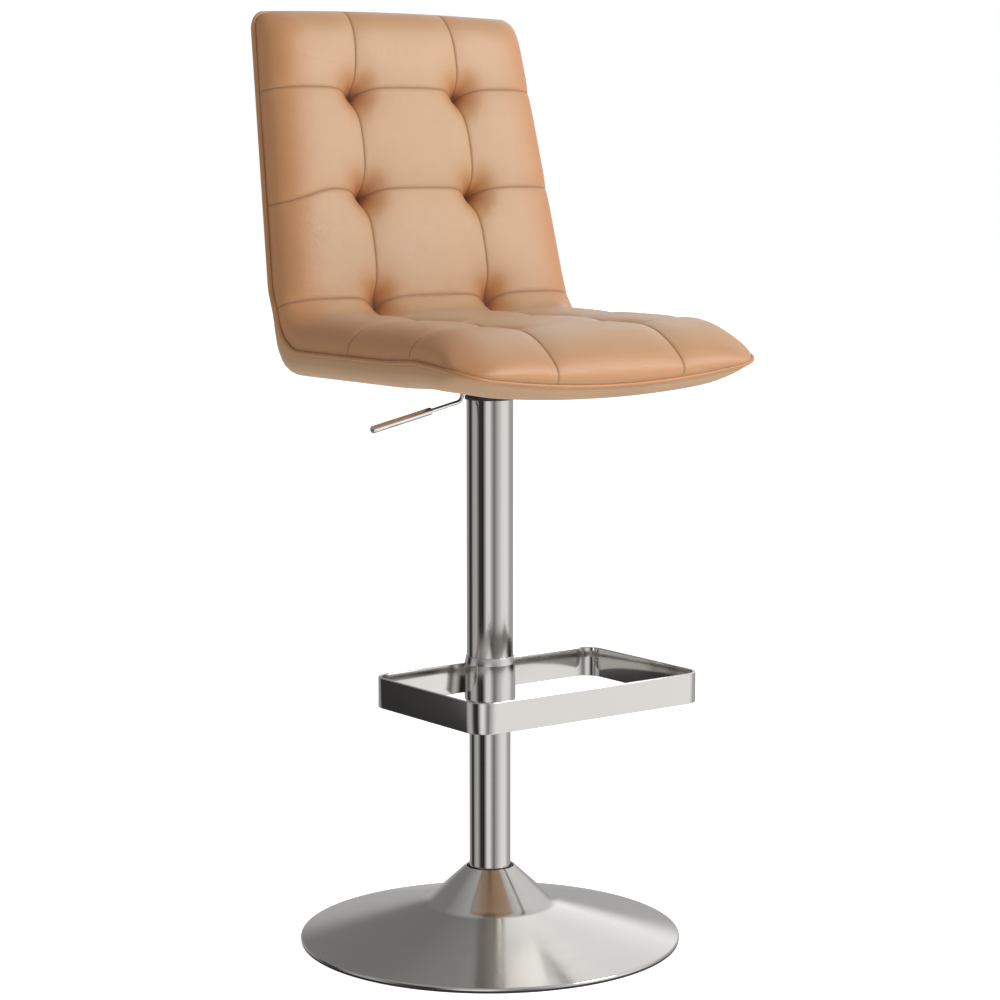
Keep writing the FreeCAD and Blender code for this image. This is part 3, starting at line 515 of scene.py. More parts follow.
@dataclass(frozen=True)
class MouldedFinish(Finish):
    """Rubber, plastic, paint or cast iron: one colour with a texture of its own.

    Attributes:
        texture: The scale of its texture.
        depth: How deep the texture is.
        dusting: How much pale dust lies on what faces up.
    """

    texture: float = 900.0
    depth: float = 0.05 * MM
    dusting: float = 0.15

    def material(self, shop: EffectShop) -> bpy.types.Material:
        """A textured surface, a little dusty on top and worn at its edges."""
        material, wires, shader = self.begin()
        place = wires.place()
        speck = wires.speckle(place, self.texture, 4.0)
        facing = wires.node("SeparateXYZ")
        wires.feed(facing.inputs[0], wires.node("NewGeometry").outputs["Normal"])
        cloud = wires.ramp(wires.speckle(place, 40.0), 0.4, 0.8)
        dust = wires.maths("MULTIPLY", wires.ramp(facing.outputs[2], 0.3, 1.0), cloud)
        share = wires.maths("MULTIPLY", dust, self.dusting)
        pale = tuple(0.7 * part + 0.12 for part in self.tone)
        edge = shop.placed(wires, Effect.EDGE_SHINE)["Mask"]
        worn = tuple(1.6 * part + 0.01 for part in self.tone)
        edged = wires.blend(edge, rgba(self.tone), rgba(worn))
        wires.feed(shader.inputs["Base Color"], wires.blend(share, edged, rgba(pale)))
        self.vary_roughness(wires, shader, shop.placed(wires, Effect.HANDLING, Patch=25.0)["Smear"], 0.06)
        self.bump(wires, shader, speck, self.depth)
        return material


@dataclass(frozen=True)
class PlyFinish(Finish):
    """Bent plywood, with its layers showing on the edges."""

    def material(self, shop: EffectShop) -> bpy.types.Material:
        """Veneer grain along the length, with thin dark glue lines."""
        material, wires, shader = self.begin()
        stretched = wires.node("Mapping")
        wires.feed(stretched.inputs["Vector"], wires.place())
        stretched.inputs["Scale"].default_value = (90.0, 4.0, 4.0)
        grain = wires.speckle(stretched.outputs[0], 1.0, 6.0)
        layers = wires.node("TexWave", bands_direction="Z", wave_profile="SAW")
        wires.feed(layers.inputs["Vector"], wires.place())
        layers.inputs["Scale"].default_value = 105.0
        layers.inputs["Distortion"].default_value = 0.4
        dark = tuple(0.6 * part for part in self.tone)
        veneer = wires.blend(grain, rgba(dark), rgba(self.tone))
        glue = wires.ramp(layers.outputs["Fac"], 0.85, 1.0)
        wires.feed(shader.inputs["Base Color"], wires.blend(glue, veneer, rgba(dark)))
        self.bump(wires, shader, grain, 0.1 * MM)
        return material


TAN = (0.55, 0.322, 0.162)
NICKEL = (0.56, 0.545, 0.52)

FINISHES: tuple[Finish, ...] = (
    MouldedFinish("rubber", (0.018, 0.018, 0.018), 0.75, texture=1400.0),
    SteelFinish("brushed_base", NICKEL, 0.18, stretch=0.85, line_depth=0.004 * MM),
    MouldedFinish("cast_iron", (0.05, 0.05, 0.052), 0.8, texture=420.0, depth=0.4 * MM),
    MouldedFinish("dark_steel", (0.022, 0.022, 0.024), 0.42, texture=600.0, depth=0.03 * MM),
    SteelFinish("polished_tube", NICKEL, 0.11, stretch=0.8, line_depth=0.001 * MM, patchiness=0.02),
    SteelFinish("zinc_steel", (0.60, 0.60, 0.58), 0.34, line_depth=0.004 * MM),
    MouldedFinish("black_plastic", (0.02, 0.02, 0.021), 0.5, texture=1800.0, depth=0.03 * MM),
    SteelFinish("bearing_steel", (0.6, 0.6, 0.6), 0.2),
    SteelFinish("brushed_strip", NICKEL, 0.12, brushing=Brushing.ALONG, line_depth=0.004 * MM),
    PlyFinish("plywood", (0.52, 0.35, 0.19), 0.7),
    LeatherFinish("tan_cover", TAN, 0.44),
    LeatherFinish("tan_cushion", TAN, 0.36),
    # The welt cord's darker tone is a shaded copy of the tan, standing in for the shade along the seat's edges:
    # painted shade over the whole cord.
    LeatherFinish("tan_welt", (0.5, 0.225, 0.08), 0.42, grain_depth=0.06 * MM),
    SteelFinish("polished_lever", (0.68, 0.67, 0.66), 0.09, line_depth=0.001 * MM, patchiness=0.02),
)


class Wardrobe:
    """The finished materials, by slot."""

    def __init__(self) -> None:
        """Make a material of every finish."""
        shop = EffectShop()
        self.materials = {finish.slot: finish.material(shop) for finish in FINISHES}

    def dress(self, piece: bpy.types.Object, slot: str) -> None:
        """Give a piece one material over all of it."""
        piece.data.materials.clear()
        piece.data.materials.append(self.materials[slot])


# ---------------------------------------------------------------- pieces


class Workshop:
    """Turns bmeshes into pieces, dresses them and hangs them on the frame's bodies."""

    def __init__(self, wardrobe: Wardrobe) -> None:
        """Take the materials that the pieces get."""
        self.wardrobe = wardrobe

    def piece(
        self,
        name: str,
        mesh: bmesh.types.BMesh,
        slot: str,
        body: str,
        nodes: Iterable[str] = (),
        sharp: float = 35.0,
    ) -> bpy.types.Object:
        """Make a piece of a finished bmesh.

        Args:
            name: The piece's name.
            mesh: Its bmesh, which is freed.
            slot: The record's material slot.
            body: The CAD body that it rides on.
            nodes: The CAD nodes that it stands for.
            sharp: The angle in degrees past which an edge is shaded sharp.

        Returns:
            The piece.
        """
        data = bpy.data.meshes.new(name)
        mesh.to_mesh(data)
        mesh.free()
        data.shade_smooth()
        data.set_sharp_from_angle(angle=math.radians(sharp))
        made = bpy.data.objects.new(name, data)
        bpy.context.scene.collection.objects.link(made)
        self.wardrobe.dress(made, slot)
        self.hang(made, body, nodes)
        return made

    def hang(self, made: bpy.types.Object, body: str, nodes: Iterable[str] = ()) -> None:
        """Hang a piece on what it rides on and hide the nodes that it stands for."""
        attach(made, body)
        if nodes:
            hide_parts(*nodes)
        log.info("%s: %d faces on %s", made.name, len(made.data.polygons), body)


def turned(outline: Outline, steps: int = 160) -> bmesh.types.BMesh:
    """A closed section turned once round the Z axis.

    Args:
        outline: The section as (radius, height), closed.
        steps: How many faces go round.

    Returns:
        The turned shape.
    """
    mesh = bmesh.new()
    ring = [mesh.verts.new((point.x, 0.0, point.y)) for point in outline.points[:-1]]
    edges = [mesh.edges.new((a, b)) for a, b in zip(ring, ring[1:] + ring[:1]) if (a.co - b.co).length > 0]
    bmesh.ops.spin(
        mesh,
        geom=ring + edges,
        cent=(0, 0, 0),
        axis=(0, 0, 1),
        angle=math.tau,
        steps=steps,
        use_merge=True,
        use_duplicate=False,
    )
    bmesh.ops.remove_doubles(mesh, verts=mesh.verts, dist=0.002 * MM)
    bmesh.ops.recalc_face_normals(mesh, faces=mesh.faces)
    return mesh


def swept(path: Sequence[Vector], radius: float, closed: bool, sides: int = 12) -> bmesh.types.BMesh:
    """A round cord or rod along a path.

    Args:
        path: The points of its centreline.
        radius: Its radius.
        closed: Whether its ends join.
        sides: How many faces go round it, in steps of four.

    Returns:
        Its mesh.
    """
    curve = bpy.data.curves.new("path", "CURVE")
    curve.dimensions = "3D"
    curve.bevel_depth = radius
    curve.bevel_resolution = sides // 4
    curve.use_fill_caps = not closed
    spline = curve.splines.new("POLY")
    spline.points.add(len(path) - 1)
    for point, place in zip(spline.points, path):
        point.co = (*place, 1.0)
    spline.use_cyclic_u = closed
    holder = bpy.data.objects.new("path", curve)
    bpy.context.scene.collection.objects.link(holder)
    bpy.context.view_layer.update()
    data = bpy.data.meshes.new_from_object(holder)
    mesh = bmesh.new()
    mesh.from_mesh(data)
    bpy.data.objects.remove(holder)
    bpy.data.curves.remove(curve)
    bpy.data.meshes.remove(data)
    bmesh.ops.remove_doubles(mesh, verts=mesh.verts, dist=0.002 * MM)
    bmesh.ops.recalc_face_normals(mesh, faces=mesh.faces)
    return mesh


# ---------------------------------------------------------------- seat form


@dataclass(frozen=True)
class Tuft:
    """A row of two tufts.

    Attributes:
        place: Where the row lies in side view, as (y, z).
        apart: Half the distance between its two tufts.
        depth: How deep they pull the pad in.
        arch: How far the seam between them runs ahead of them, towards the top.
        drop: How far that seam falls back again at the sitter's right-hand edge.
    """

    place: tuple[float, float]
    apart: float
    depth: float
    arch: float
    drop: float = 0.0


@dataclass
class SeatForm:
    """The L-shaped form that the pad, the outer cover and the welt share.

    A place on it has a column across and a row along. The welt's line runs from the front edge, back
    along the seat and up to the top edge; the pad's line and the cover's line run beside it.
    """

    half_width: float = 215 * MM
    top_half_width: float = 189 * MM
    taper_start: float = 744 * MM
    front: float = 240 * MM
    board: float = 706 * MM
    lip_start: float = 150 * MM
    lip_drop: float = 16 * MM
    bend_depth: float = 127 * MM
    rake: float = math.radians(12.4)
    top: float = 1110 * MM
    bend_radius: float = 60 * MM
    pad_seat: float = 52 * MM
    pad_back: float = 38 * MM
    cover_seat: float = 18 * MM
    cover_back: float = 14 * MM
    front_corner: float = 34 * MM
    top_corner: float = 13 * MM
    side_curl: float = 10 * MM
    front_curl: float = 20 * MM
    tufts: tuple[Tuft, ...] = (
        Tuft((-136 * MM, 740 * MM), 88 * MM, 30 * MM, -7 * MM),
        Tuft((-8 * MM, 740 * MM), 86 * MM, 33 * MM, -12 * MM),
        Tuft((120 * MM, 764 * MM), 83 * MM, 26 * MM, 4 * MM),
        Tuft((163 * MM, 890 * MM), 80.5 * MM, 36 * MM, 9 * MM, 14 * MM),
        Tuft((185 * MM, 1011 * MM), 77.5 * MM, 32 * MM, 9 * MM),
    )
    top_seam: float = 70 * MM
    crown: float = 4 * MM
    front_seam: float = 90 * MM
    lines: dict[str, Outline] = field(init=False)
    stations: dict[str, list[float]] = field(init=False)

    def __post_init__(self) -> None:
        """Lay out the three lines and find each row of tufts on them."""
        seat, pad, cover = self.board, self.board + self.pad_seat, self.board - self.cover_seat
        self.lines = {
            "welt": Outline(
                [
                    Corner(-self.front, seat - self.lip_drop),
                    Corner(-self.lip_start, seat, 180 * MM),
                    Corner(self._back(seat, 0.0), seat, self.bend_radius),
                    Corner(self._back(self.top, 0.0), self.top),
                ]
            ),
            "pad": Outline(
                [
                    Corner(-self.front - 1 * MM, pad - 22 * MM),
                    Corner(-178 * MM, pad, 120 * MM),
                    Corner(self._back(pad, self.pad_back), pad, 30 * MM),
                    Corner(self._back(self.top + 8 * MM, self.pad_back), self.top + 8 * MM),
                ]
            ),
            "cover": Outline(
                [
                    Corner(-self.front + 4 * MM, cover - self.lip_drop + 2 * MM),
                    Corner(-self.lip_start, cover, 180 * MM),
                    Corner(self._back(cover, -self.cover_back), cover, 38 * MM),
                    Corner(self._back(self.top - 3 * MM, -self.cover_back), self.top - 3 * MM),
                ]
            ),
        }
        self.stations = {}
        for name, line in self.lines.items():
            found = [line.nearest(Vector(tuft.place)) for tuft in self.tufts]
            self.stations[name] = [0.0, *found, line.length]

    def _back(self, height: float, ahead: float) -> float:
        """How far back the raked line lies at a height, moved ahead of it by a distance."""
        return self.bend_depth + (height - self.board) * math.tan(self.rake) - ahead / math.cos(self.rake)

    def matched(self, distance: float, line: str) -> float:
        """The distance along another line that answers to one along the pad's line."""
        own, other = self.stations["pad"], self.stations[line]
        k = min(max(bisect_right(own, distance) - 1, 0), len(own) - 2)
        share = (distance - own[k]) / (own[k + 1] - own[k])
        return other[k] + share * (other[k + 1] - other[k])

    def by_row(self, distance: float, values: Sequence[float]) -> float:
        """A value given at the front edge, at each row of tufts and at the top edge, read in between."""
        own = self.stations["pad"]
        k = min(max(bisect_right(own, distance) - 1, 0), len(own) - 2)
        share = (distance - own[k]) / (own[k + 1] - own[k])
        return values[k] + share * (values[k + 1] - values[k])

    def seam_at(self, distance: float) -> float:
        """How far from the middle the long seams run, at a distance along the pad's line."""
        return self.by_row(distance, [self.front_seam, *(tuft.apart for tuft in self.tufts), self.top_seam])

    def half_at(self, height: float) -> float:
        """Half the width at a height."""
        share = (height - self.taper_start) / (self.top - self.taper_start)
        return self.half_width + (self.top_half_width - self.half_width) * min(max(share, 0.0), 1.0)

    def rounded(self, x: float, distance: float, half: float, length: float) -> tuple[float, float]:
        """Draw a place in so that the square corners of the form become round.

        Args:
            x: Its distance from the middle.
            distance: Its distance along a line.
            half: Half the form's width there.
            length: The line's length.

        Returns:
            The new x and the new distance.
        """
        from_top = distance > length / 2
        radius = self.top_corner if from_top else self.front_corner
        gap = length - distance if from_top else distance
        p, q = (abs(x) - half + radius) / radius, (radius - gap) / radius
        if p <= 0 or q <= 0:
            return x, distance
        across = half - radius + radius * p * math.sqrt(max(0.0, 1 - q * q / 2))
        gap = radius - radius * q * math.sqrt(max(0.0, 1 - p * p / 2))
        return math.copysign(across, x), length - gap if from_top else gap

    def on_line(self, line: str, x: float, distance: float, curl: float = 1.0) -> Vector:
        """A place on one of the three surfaces.

        Args:
            line: Which surface: welt, pad or cover.
            x: The distance from the middle, before the corners are rounded.
            distance: The distance along the pad's line, before the corners are rounded.
            curl: How much of the edges' curl towards the sitter the place follows.

        Returns:
            The place.
        """
        outline = self.lines[line]
        along = self.matched(distance, line)
        welt_height = self.lines["welt"].at(self.matched(distance, "welt")).y
        half = self.half_at(welt_height)
        across, along = self.rounded(x, along, half, outline.length)
        flat = outline.at(along)
        crowned = self.crown * (1 - (across / half) ** 2) * eased((flat.y - 1000 * MM) / (110 * MM))
        place = Vector((across, flat.x, flat.y + crowned))
        if line == "pad":
            return place
        ahead = outline.ahead(along)
        up = Vector((0.0, -ahead.y, ahead.x))
        lip = 1 - eased(along / (self.front - self.lip_start + 60 * MM))
        gone = eased((flat.y - 744 * MM) / (50 * MM))
        spread = abs(across) / self.half_width
        lifted = self.side_curl * (1 - gone) * spread**4 * (1 - lip) + self.front_curl * spread**2 * lip
        return place + up * (lifted * curl)


@dataclass
class PadGrid:
    """Where the columns and rows of the seat's meshes lie.

    The seams and the rows of tufts fall on columns and rows of their own.
    """

    form: SeatForm
    side_round: float = 52 * MM
    front_round: float = 44 * MM
    top_round: float = 46 * MM
    edge_steps: int = 10
    pitch: float = 5.4 * MM
    beside: float = 1.2 * MM
    columns: list[tuple[int, float]] = field(init=False)
    rows: list[float] = field(init=False)
    seam_columns: tuple[int, int] = field(init=False)
    seam_rows: tuple[int, ...] = field(init=False)

    def __post_init__(self) -> None:
        """Space the columns and rows out."""
        form = self.form
        arc = [1 - math.cos(k * math.pi / 2 / self.edge_steps) for k in range(self.edge_steps)]
        seam = form.tufts[1].apart
        outer = self.spread(form.half_width - self.side_round - seam, True, False)
        inner = self.spread(2 * seam, True, True)
        side = [(2, share) for share in outer[1:]] + [(3, share) for share in arc[::-1]]
        middle = [(1, 2 * share - 1) for share in inner]
        self.columns = [(-zone, share) for zone, share in side[::-1]] + middle + side
        self.seam_columns = (len(side), len(side) + len(middle) - 1)
        stations = form.stations["pad"]
        length = form.lines["pad"].length
        marks = [self.front_round, *stations[1:-1], length - self.top_round]
        self.rows = [self.front_round * share for share in arc]
        seam_rows = []
        last = len(marks) - 2
        for n, (low, high) in enumerate(zip(marks, marks[1:])):
            shares = self.spread(high - low, n > 0, n < last)
            self.rows += [low + (high - low) * share for share in shares[:-1]]
            if n < last:
                seam_rows.append(len(self.rows))
        self.rows.append(marks[-1])
        self.rows += [length - self.top_round * share for share in arc[::-1]]
        self.seam_rows = tuple(seam_rows)

    def spread(self, length: float, sewn_before: bool, sewn_after: bool) -> list[float]:
        """Shares of a run at an even pitch, with one more close to each end that is a seam.

        Args:
            length: The run's length.
            sewn_before: Whether it starts at a seam.
            sewn_after: Whether it ends at one.

        Returns:
            The shares, from 0 to 1.
        """
        low = self.beside / length if sewn_before else 0.0
        high = 1 - self.beside / length if sewn_after else 1.0
        count = round((high - low) * length / self.pitch)
        shares = [low + (high - low) * k / count for k in range(count + 1)]
        return ([0.0] if sewn_before else []) + shares + ([1.0] if sewn_after else [])

    def across(self, column: int, row: int) -> float:
        """How far a column lies from the middle, at a row."""
        zone, share = self.columns[column]
        distance = self.rows[row]
        height = self.form.lines["welt"].at(self.form.matched(distance, "welt")).y
        half, seam = self.form.half_at(height), self.form.seam_at(distance)
        if abs(zone) == 1:
            return share * seam
        edge = half - self.side_round
        reach = half - self.side_round * share if abs(zone) == 3 else seam + (edge - seam) * share
        return math.copysign(reach, zone)

    def edge_gaps(self, column: int, row: int) -> tuple[float, float, float]:
        """How far a place lies from the side, from the front edge and from the top edge."""
        distance = self.rows[row]
        height = self.form.lines["welt"].at(self.form.matched(distance, "welt")).y
        side = self.form.half_at(height) - abs(self.across(column, row))
        return side, distance, self.form.lines["pad"].length - distance


# ---------------------------------------------------------------- seat


def grid_sheet(
    columns: int, rows: int, marks: Sequence[str] = ()
) -> tuple[bmesh.types.BMesh, dict[bmesh.types.BMVert, tuple[int, int]]]:
    """A flat sheet of quads whose vertices know their column and row.

    Args:
        columns: How many columns of vertices it has.
        rows: How many rows.
        marks: Names of the values that each vertex carries.

    Returns:
        The sheet, and each vertex's column and row.
    """
    mesh = bmesh.new()
    for name in marks:
        mesh.verts.layers.float.new(name)
    made = bmesh.ops.create_grid(mesh, x_segments=columns - 1, y_segments=rows - 1, size=0.5)
    spots = {}
    for vert in made["verts"]:
        spots[vert] = (round((vert.co.x + 0.5) * (columns - 1)), round((vert.co.y + 0.5) * (rows - 1)))
    return mesh, spots


@dataclass
class Cushion:
    """The tufted pad: a closed leather form, puffed between its seams and pulled in at its tufts."""

    form: SeatForm
    grid: PadGrid
    fullness: float = 2.15
    side_bulge: float = 2 * MM
    front_bulge: float = 14 * MM
    top_bulge: float = 3 * MM
    corner_taper: float = 0.36
    corner_reach: float = 42 * MM
    tuft_reach: float = 15 * MM
    valley: float = 2.2 * MM
    valley_reach: float = 14 * MM
    groove: float = 1 * MM
    groove_reach: float = 4 * MM
    stitch_depth: float = 1.2 * MM
    slack: float = 1 * MM
    pressure: float = 4.0
    most_swell: float = 4.5 * MM
    frames: int = 20

    def __post_init__(self) -> None:
        """Find the tufts and the rows' own arches."""
        form = self.form
        self.marks = form.stations["pad"][1:-1]
        self.arches = [0.0, *(tuft.arch for tuft in form.tufts), 0.0]
        self.drops = [0.0, *(tuft.drop for tuft in form.tufts), 0.0]

    def rise(self, gap: float, reach: float) -> float:
        """How far the pad has risen at a gap from an edge, from 0 to 1."""
        left = 1 - min(max(gap / reach, 0.0), 1.0)
        return (1 - left**self.fullness) ** (1 / self.fullness)

    def arched(self, x: float, distance: float) -> float:
        """The distance along the pad at which a row lies, once its seam arches between its tufts."""
        form = self.form
        gap = abs(abs(x) - form.seam_at(distance))
        arch = form.by_row(distance, self.arches) * (1 - math.exp(-((gap / (14 * MM)) ** 1.2)))
        drop = form.by_row(distance, self.drops) * eased((-x - 125 * MM) / (75 * MM))
        return distance + arch - drop

    def sink(self, x: float, distance: float) -> float:
        """How far the seams and the tufts pull a place in."""
        form = self.form
        across = abs(abs(x) - form.seam_at(distance))
        along = min(abs(distance - mark) for mark in self.marks)
        depth = 0.0
        for gap in (across, along):
            depth += self.valley * math.exp(-((gap / self.valley_reach) ** 2))
            depth += self.groove * math.exp(-gap / self.groove_reach)
        for tuft, mark in zip(form.tufts, self.marks):
            reach = math.hypot(abs(x) - tuft.apart, distance - mark)
            pull = math.exp(-((reach / self.tuft_reach) ** 1.1))
            depth = depth + max(0.0, tuft.depth - depth) * pull
        return depth

    def place(self, column: int, row: int) -> Vector:
        """Where a place on the pad's outer face lies before it is stuffed."""
        form, grid = self.form, self.grid
        x, distance = grid.across(column, row), grid.rows[row]
        side, front, top = grid.edge_gaps(column, row)
        by_side = self.rise(side, grid.side_round)
        by_front, by_top = self.rise(front, grid.front_round), self.rise(top, grid.top_round)
        moved = self.arched(x, distance)
        edge = form.on_line("welt", x, moved)
        crest = form.on_line("pad", x, moved)
        ahead = form.lines["pad"].ahead(moved)
        outward = Vector((math.copysign(1.0, x), 0.0, 0.0))
        along = Vector((0.0, ahead.x, ahead.y))
        up = Vector((0.0, -ahead.y, ahead.x))
        corner = math.exp(-((math.hypot(side, front) / self.corner_reach) ** 2))
        lift = by_side * by_front * by_top * (1 - self.corner_taper * corner)
        found = edge.lerp(crest, lift)
        found += outward * (self.side_bulge * 4 * by_side * (1 - by_side) * by_front * by_top)
        found -= along * (self.front_bulge * 4 * by_front * (1 - by_front) * by_side**3)
        found += along * (self.top_bulge * 4 * by_top * (1 - by_top) * by_side)
        return found - up * ((self.sink(x, distance) + self.slack) * lift)

    @staticmethod
    def painted_shade_share(reach: float, side: float, front: float, top: float) -> float:
        """How much painted shade the leather's colour gets: most in the tufts, and more down the pad's edges.

        Args:
            reach: How far the nearest tuft is.
            side: How far the side is.
            front: How far the front edge is.
            top: How far the top edge is.

        Returns:
            From 0 on a crest to 1 in a tuft.
        """
        in_tuft = math.exp(-((reach / (24 * MM)) ** 2))
        by_side = 0.6 * (1 - eased((side - 14 * MM) / (58 * MM)))
        by_end = 0.45 * (1 - eased((min(front, top) - 8 * MM) / (26 * MM)))
        return max(in_tuft, by_side, by_end)

    def build(self, workshop: Workshop) -> bpy.types.Object:
        """Make the pad, stuff it and sew its seams."""
        grid = self.grid
        mesh, spots = grid_sheet(len(grid.columns), len(grid.rows), ("held", "seam", "painted_shade", "tuft_shadow"))
        under = bmesh.ops.duplicate(mesh, geom=mesh.verts[:] + mesh.edges[:] + mesh.faces[:])
        twins = {vert: under["vert_map"][vert] for vert in spots}
        edges = {0, len(grid.columns) - 1}, {0, len(grid.rows) - 1}
        layers = mesh.verts.layers.float
        held, seam_layer, painted_shade_layer, tuft_shadow_layer = (layers[name] for name in ("held", "seam", "painted_shade", "tuft_shadow"))
        for vert, (column, row) in spots.items():
            x, distance = grid.across(column, row), grid.rows[row]
            vert.co = self.place(column, row)
            base = self.form.on_line("welt", x, distance)
            on_edge = column in edges[0] or row in edges[1]
            twin = twins[vert]
            twin.co = vert.co if on_edge else base
            twin[held] = 1.0
            sewn = column in grid.seam_columns or row in grid.seam_rows
            # The seam value presses the seam in, and also paints a crease shadow along it in the leather's colour.
            vert[seam_layer] = 1.0 if sewn and not on_edge else 0.0
            reach = min(
                math.hypot(abs(x) - tuft.apart, distance - mark)
                for tuft, mark in zip(self.form.tufts, self.marks)
            )
            pull = math.exp(-((reach / (11 * MM)) ** 1.5))
            # Painted shadow at the bottom of each tuft, in the leather's colour.
            vert[tuft_shadow_layer] = math.exp(-((reach / (8 * MM)) ** 2))
            # Painted shade: how far the leather's colour moves toward its shaded tone, in the tufts and down the
            # pad's edges.
            vert[painted_shade_layer] = self.painted_shade_share(reach, *grid.edge_gaps(column, row))
            vert[held] = 1.0 if on_edge else max(0.75 if sewn else 0.0, pull)
        bmesh.ops.remove_doubles(mesh, verts=mesh.verts, dist=0.01 * MM)
        bmesh.ops.recalc_face_normals(mesh, faces=mesh.faces)
        pad = workshop.piece("cushion_pad", mesh, "tan_cushion", "seat", ["tufted_cushion"], sharp=180.0)
        self.stuff(pad)
        self.sew(pad)
        smooth = pad.modifiers.new("smooth", "SUBSURF")
        smooth.levels = smooth.render_levels = 1
        return pad

    def stuff(self, pad: bpy.types.Object) -> None:
        """Blow the pad up as cloth under pressure, held along its edge, seams and tufts."""
        start = [vert.co.copy() for vert in pad.data.vertices]
        weights = [item.value for item in pad.data.attributes["held"].data]
        group = pad.vertex_groups.new(name="pinned")
        for index, weight in enumerate(weights):
            if weight > 0.02:
                group.add([index], weight, "REPLACE")
        cloth = pad.modifiers.new("stuffing", "CLOTH")
        settings = cloth.settings
        settings.quality = 5
        settings.mass = 0.25
        settings.use_pressure = True
        settings.uniform_pressure_force = self.pressure
        settings.vertex_group_mass = group.name
        settings.effector_weights.gravity = 0.0
        cloth.point_cache.frame_start, cloth.point_cache.frame_end = 1, self.frames
        scene = bpy.context.scene
        for frame in range(1, self.frames + 1):
            scene.frame_set(frame)
        stuffed = pad.evaluated_get(bpy.context.evaluated_depsgraph_get())
        found = [vert.co.copy() for vert in stuffed.data.vertices]
        pad.modifiers.remove(cloth)
        pad.vertex_groups.remove(group)
        scene.frame_set(1)
        most = 0.0
        for vert, before, after in zip(pad.data.vertices, start, found):
            move = after - before
            most = max(most, move.length)
            if move.length > self.most_swell:
                move *= self.most_swell / move.length
            vert.co = before + move
        log.info("stuffing moved the pad by up to %.1f mm", most / MM)

    def sew(self, pad: bpy.types.Object) -> None:
        """Press the seams in and crease them."""
        mesh = bmesh.new()
        mesh.from_mesh(pad.data)
        seam = mesh.verts.layers.float["seam"]
        crease = mesh.edges.layers.float.new("crease_edge")
        mesh.verts.ensure_lookup_table()
        moves = {}
        for vert in mesh.verts:
            if vert[seam] > 0.5:
                moves[vert] = vert.normal * -self.stitch_depth
        for vert, move in moves.items():
            vert.co += move
        for edge in mesh.edges:
            if all(vert[seam] > 0.5 for vert in edge.verts):
                edge[crease] = 0.9
        mesh.to_mesh(pad.data)
        mesh.free()


@dataclass
class Cover:
    """The leather cover under and behind the seat's board."""

    form: SeatForm
    grid: PadGrid
    side_round: float = 26 * MM
    front_round: float = 40 * MM
    thickness: float = 1.8 * MM
    side_fullness: float = 3.0
    front_fullness: float = 1.8
    side_bulge: float = 3 * MM
    belly: float = 7 * MM
    pan_half: tuple[float, float] = (78 * MM, 75 * MM)
    seam_above: int = 5

    @staticmethod
    def rise(gap: float, reach: float, fullness: float) -> float:
        """How far the cover has left the welt's line at a gap from an edge, from 0 to 1."""
        left = 1 - min(max(gap / reach, 0.0), 1.0)
        return (1 - left**fullness) ** (1 / fullness)

    def place(self, column: int, row: int) -> Vector:
        """Where a place on the cover's outer face lies."""
        grid, form = self.grid, self.form
        x, distance = grid.across(column, row), grid.rows[row]
        side, front, top = grid.edge_gaps(column, row)
        by_side = self.rise(side, self.side_round, self.side_fullness)
        by_front = self.rise(front, self.front_round, self.front_fullness)
        by_top = self.rise(top, self.side_round, self.side_fullness)
        edge, outer = form.on_line("welt", x, distance), form.on_line("cover", x, distance, 0.85)
        corner = 1 - 0.5 * math.exp(-((math.hypot(side, front) / (40 * MM)) ** 2))
        lift = by_side * by_front * by_top * corner
        clear = max(abs(outer.x) - self.pan_half[0], abs(outer.y) - self.pan_half[1])
        flat = 1 - eased((outer.z - 690 * MM) / (60 * MM))
        outer.z -= self.belly * eased(clear / (45 * MM)) * flat
        found = edge.lerp(outer, lift)
        swell = self.side_bulge * 4 * by_side * (1 - by_side) * by_front * by_top
        return found + Vector((math.copysign(swell, x), 0.0, 0.0))

    def build(self, workshop: Workshop) -> bpy.types.Object:
        """Make the cover as one sheet, turned up to the welt all round."""
        mesh, spots = grid_sheet(len(self.grid.columns), len(self.grid.rows), ("seam", "painted_shade"))
        seam, painted_shade = (mesh.verts.layers.float[name] for name in ("seam", "painted_shade"))
        sewn = self.grid.seam_rows[2] + self.seam_above
        for vert, (column, row) in spots.items():
            vert.co = self.place(column, row)
            # A painted crease shadow along the cover's one seam row.
            vert[seam] = 1.0 if row == sewn else 0.0
            # The cover gets no painted shade apart from its seam line.
            vert[painted_shade] = 0.0
        bmesh.ops.reverse_faces(mesh, faces=mesh.faces)
        bmesh.ops.solidify(mesh, geom=mesh.faces[:], thickness=self.thickness)
        return workshop.piece("seat_cover", mesh, "tan_cover", "seat", ["outer_cover"], sharp=60.0)


@dataclass
class Board:
    """The bent plywood board inside the seat."""

    form: SeatForm
    grid: PadGrid
    inset: float = 42 * MM
    clear: float = 0.6 * MM
    thickness: float = 10.5 * MM

    def build(self, workshop: Workshop) -> bpy.types.Object:
        """Make the board as one bent sheet."""
        grid, form = self.grid, self.form
        mesh, spots = grid_sheet(len(grid.columns), len(grid.rows))
        length = form.lines["pad"].length
        for vert, (column, row) in spots.items():
            x, distance = grid.across(column, row), grid.rows[row]
            along = self.inset + distance * (1 - 2 * self.inset / length)
            place = form.on_line("welt", x * (1 - self.inset / form.half_width), along, 0.85)
            ahead = form.lines["welt"].ahead(form.matched(along, "welt"))
            vert.co = place - Vector((0.0, -ahead.y, ahead.x)) * self.clear
        bmesh.ops.reverse_faces(mesh, faces=mesh.faces)
        bmesh.ops.solidify(mesh, geom=mesh.faces[:], thickness=-self.thickness)
        return workshop.piece("bent_board", mesh, "plywood", "seat", ["seat_board"], sharp=50.0)


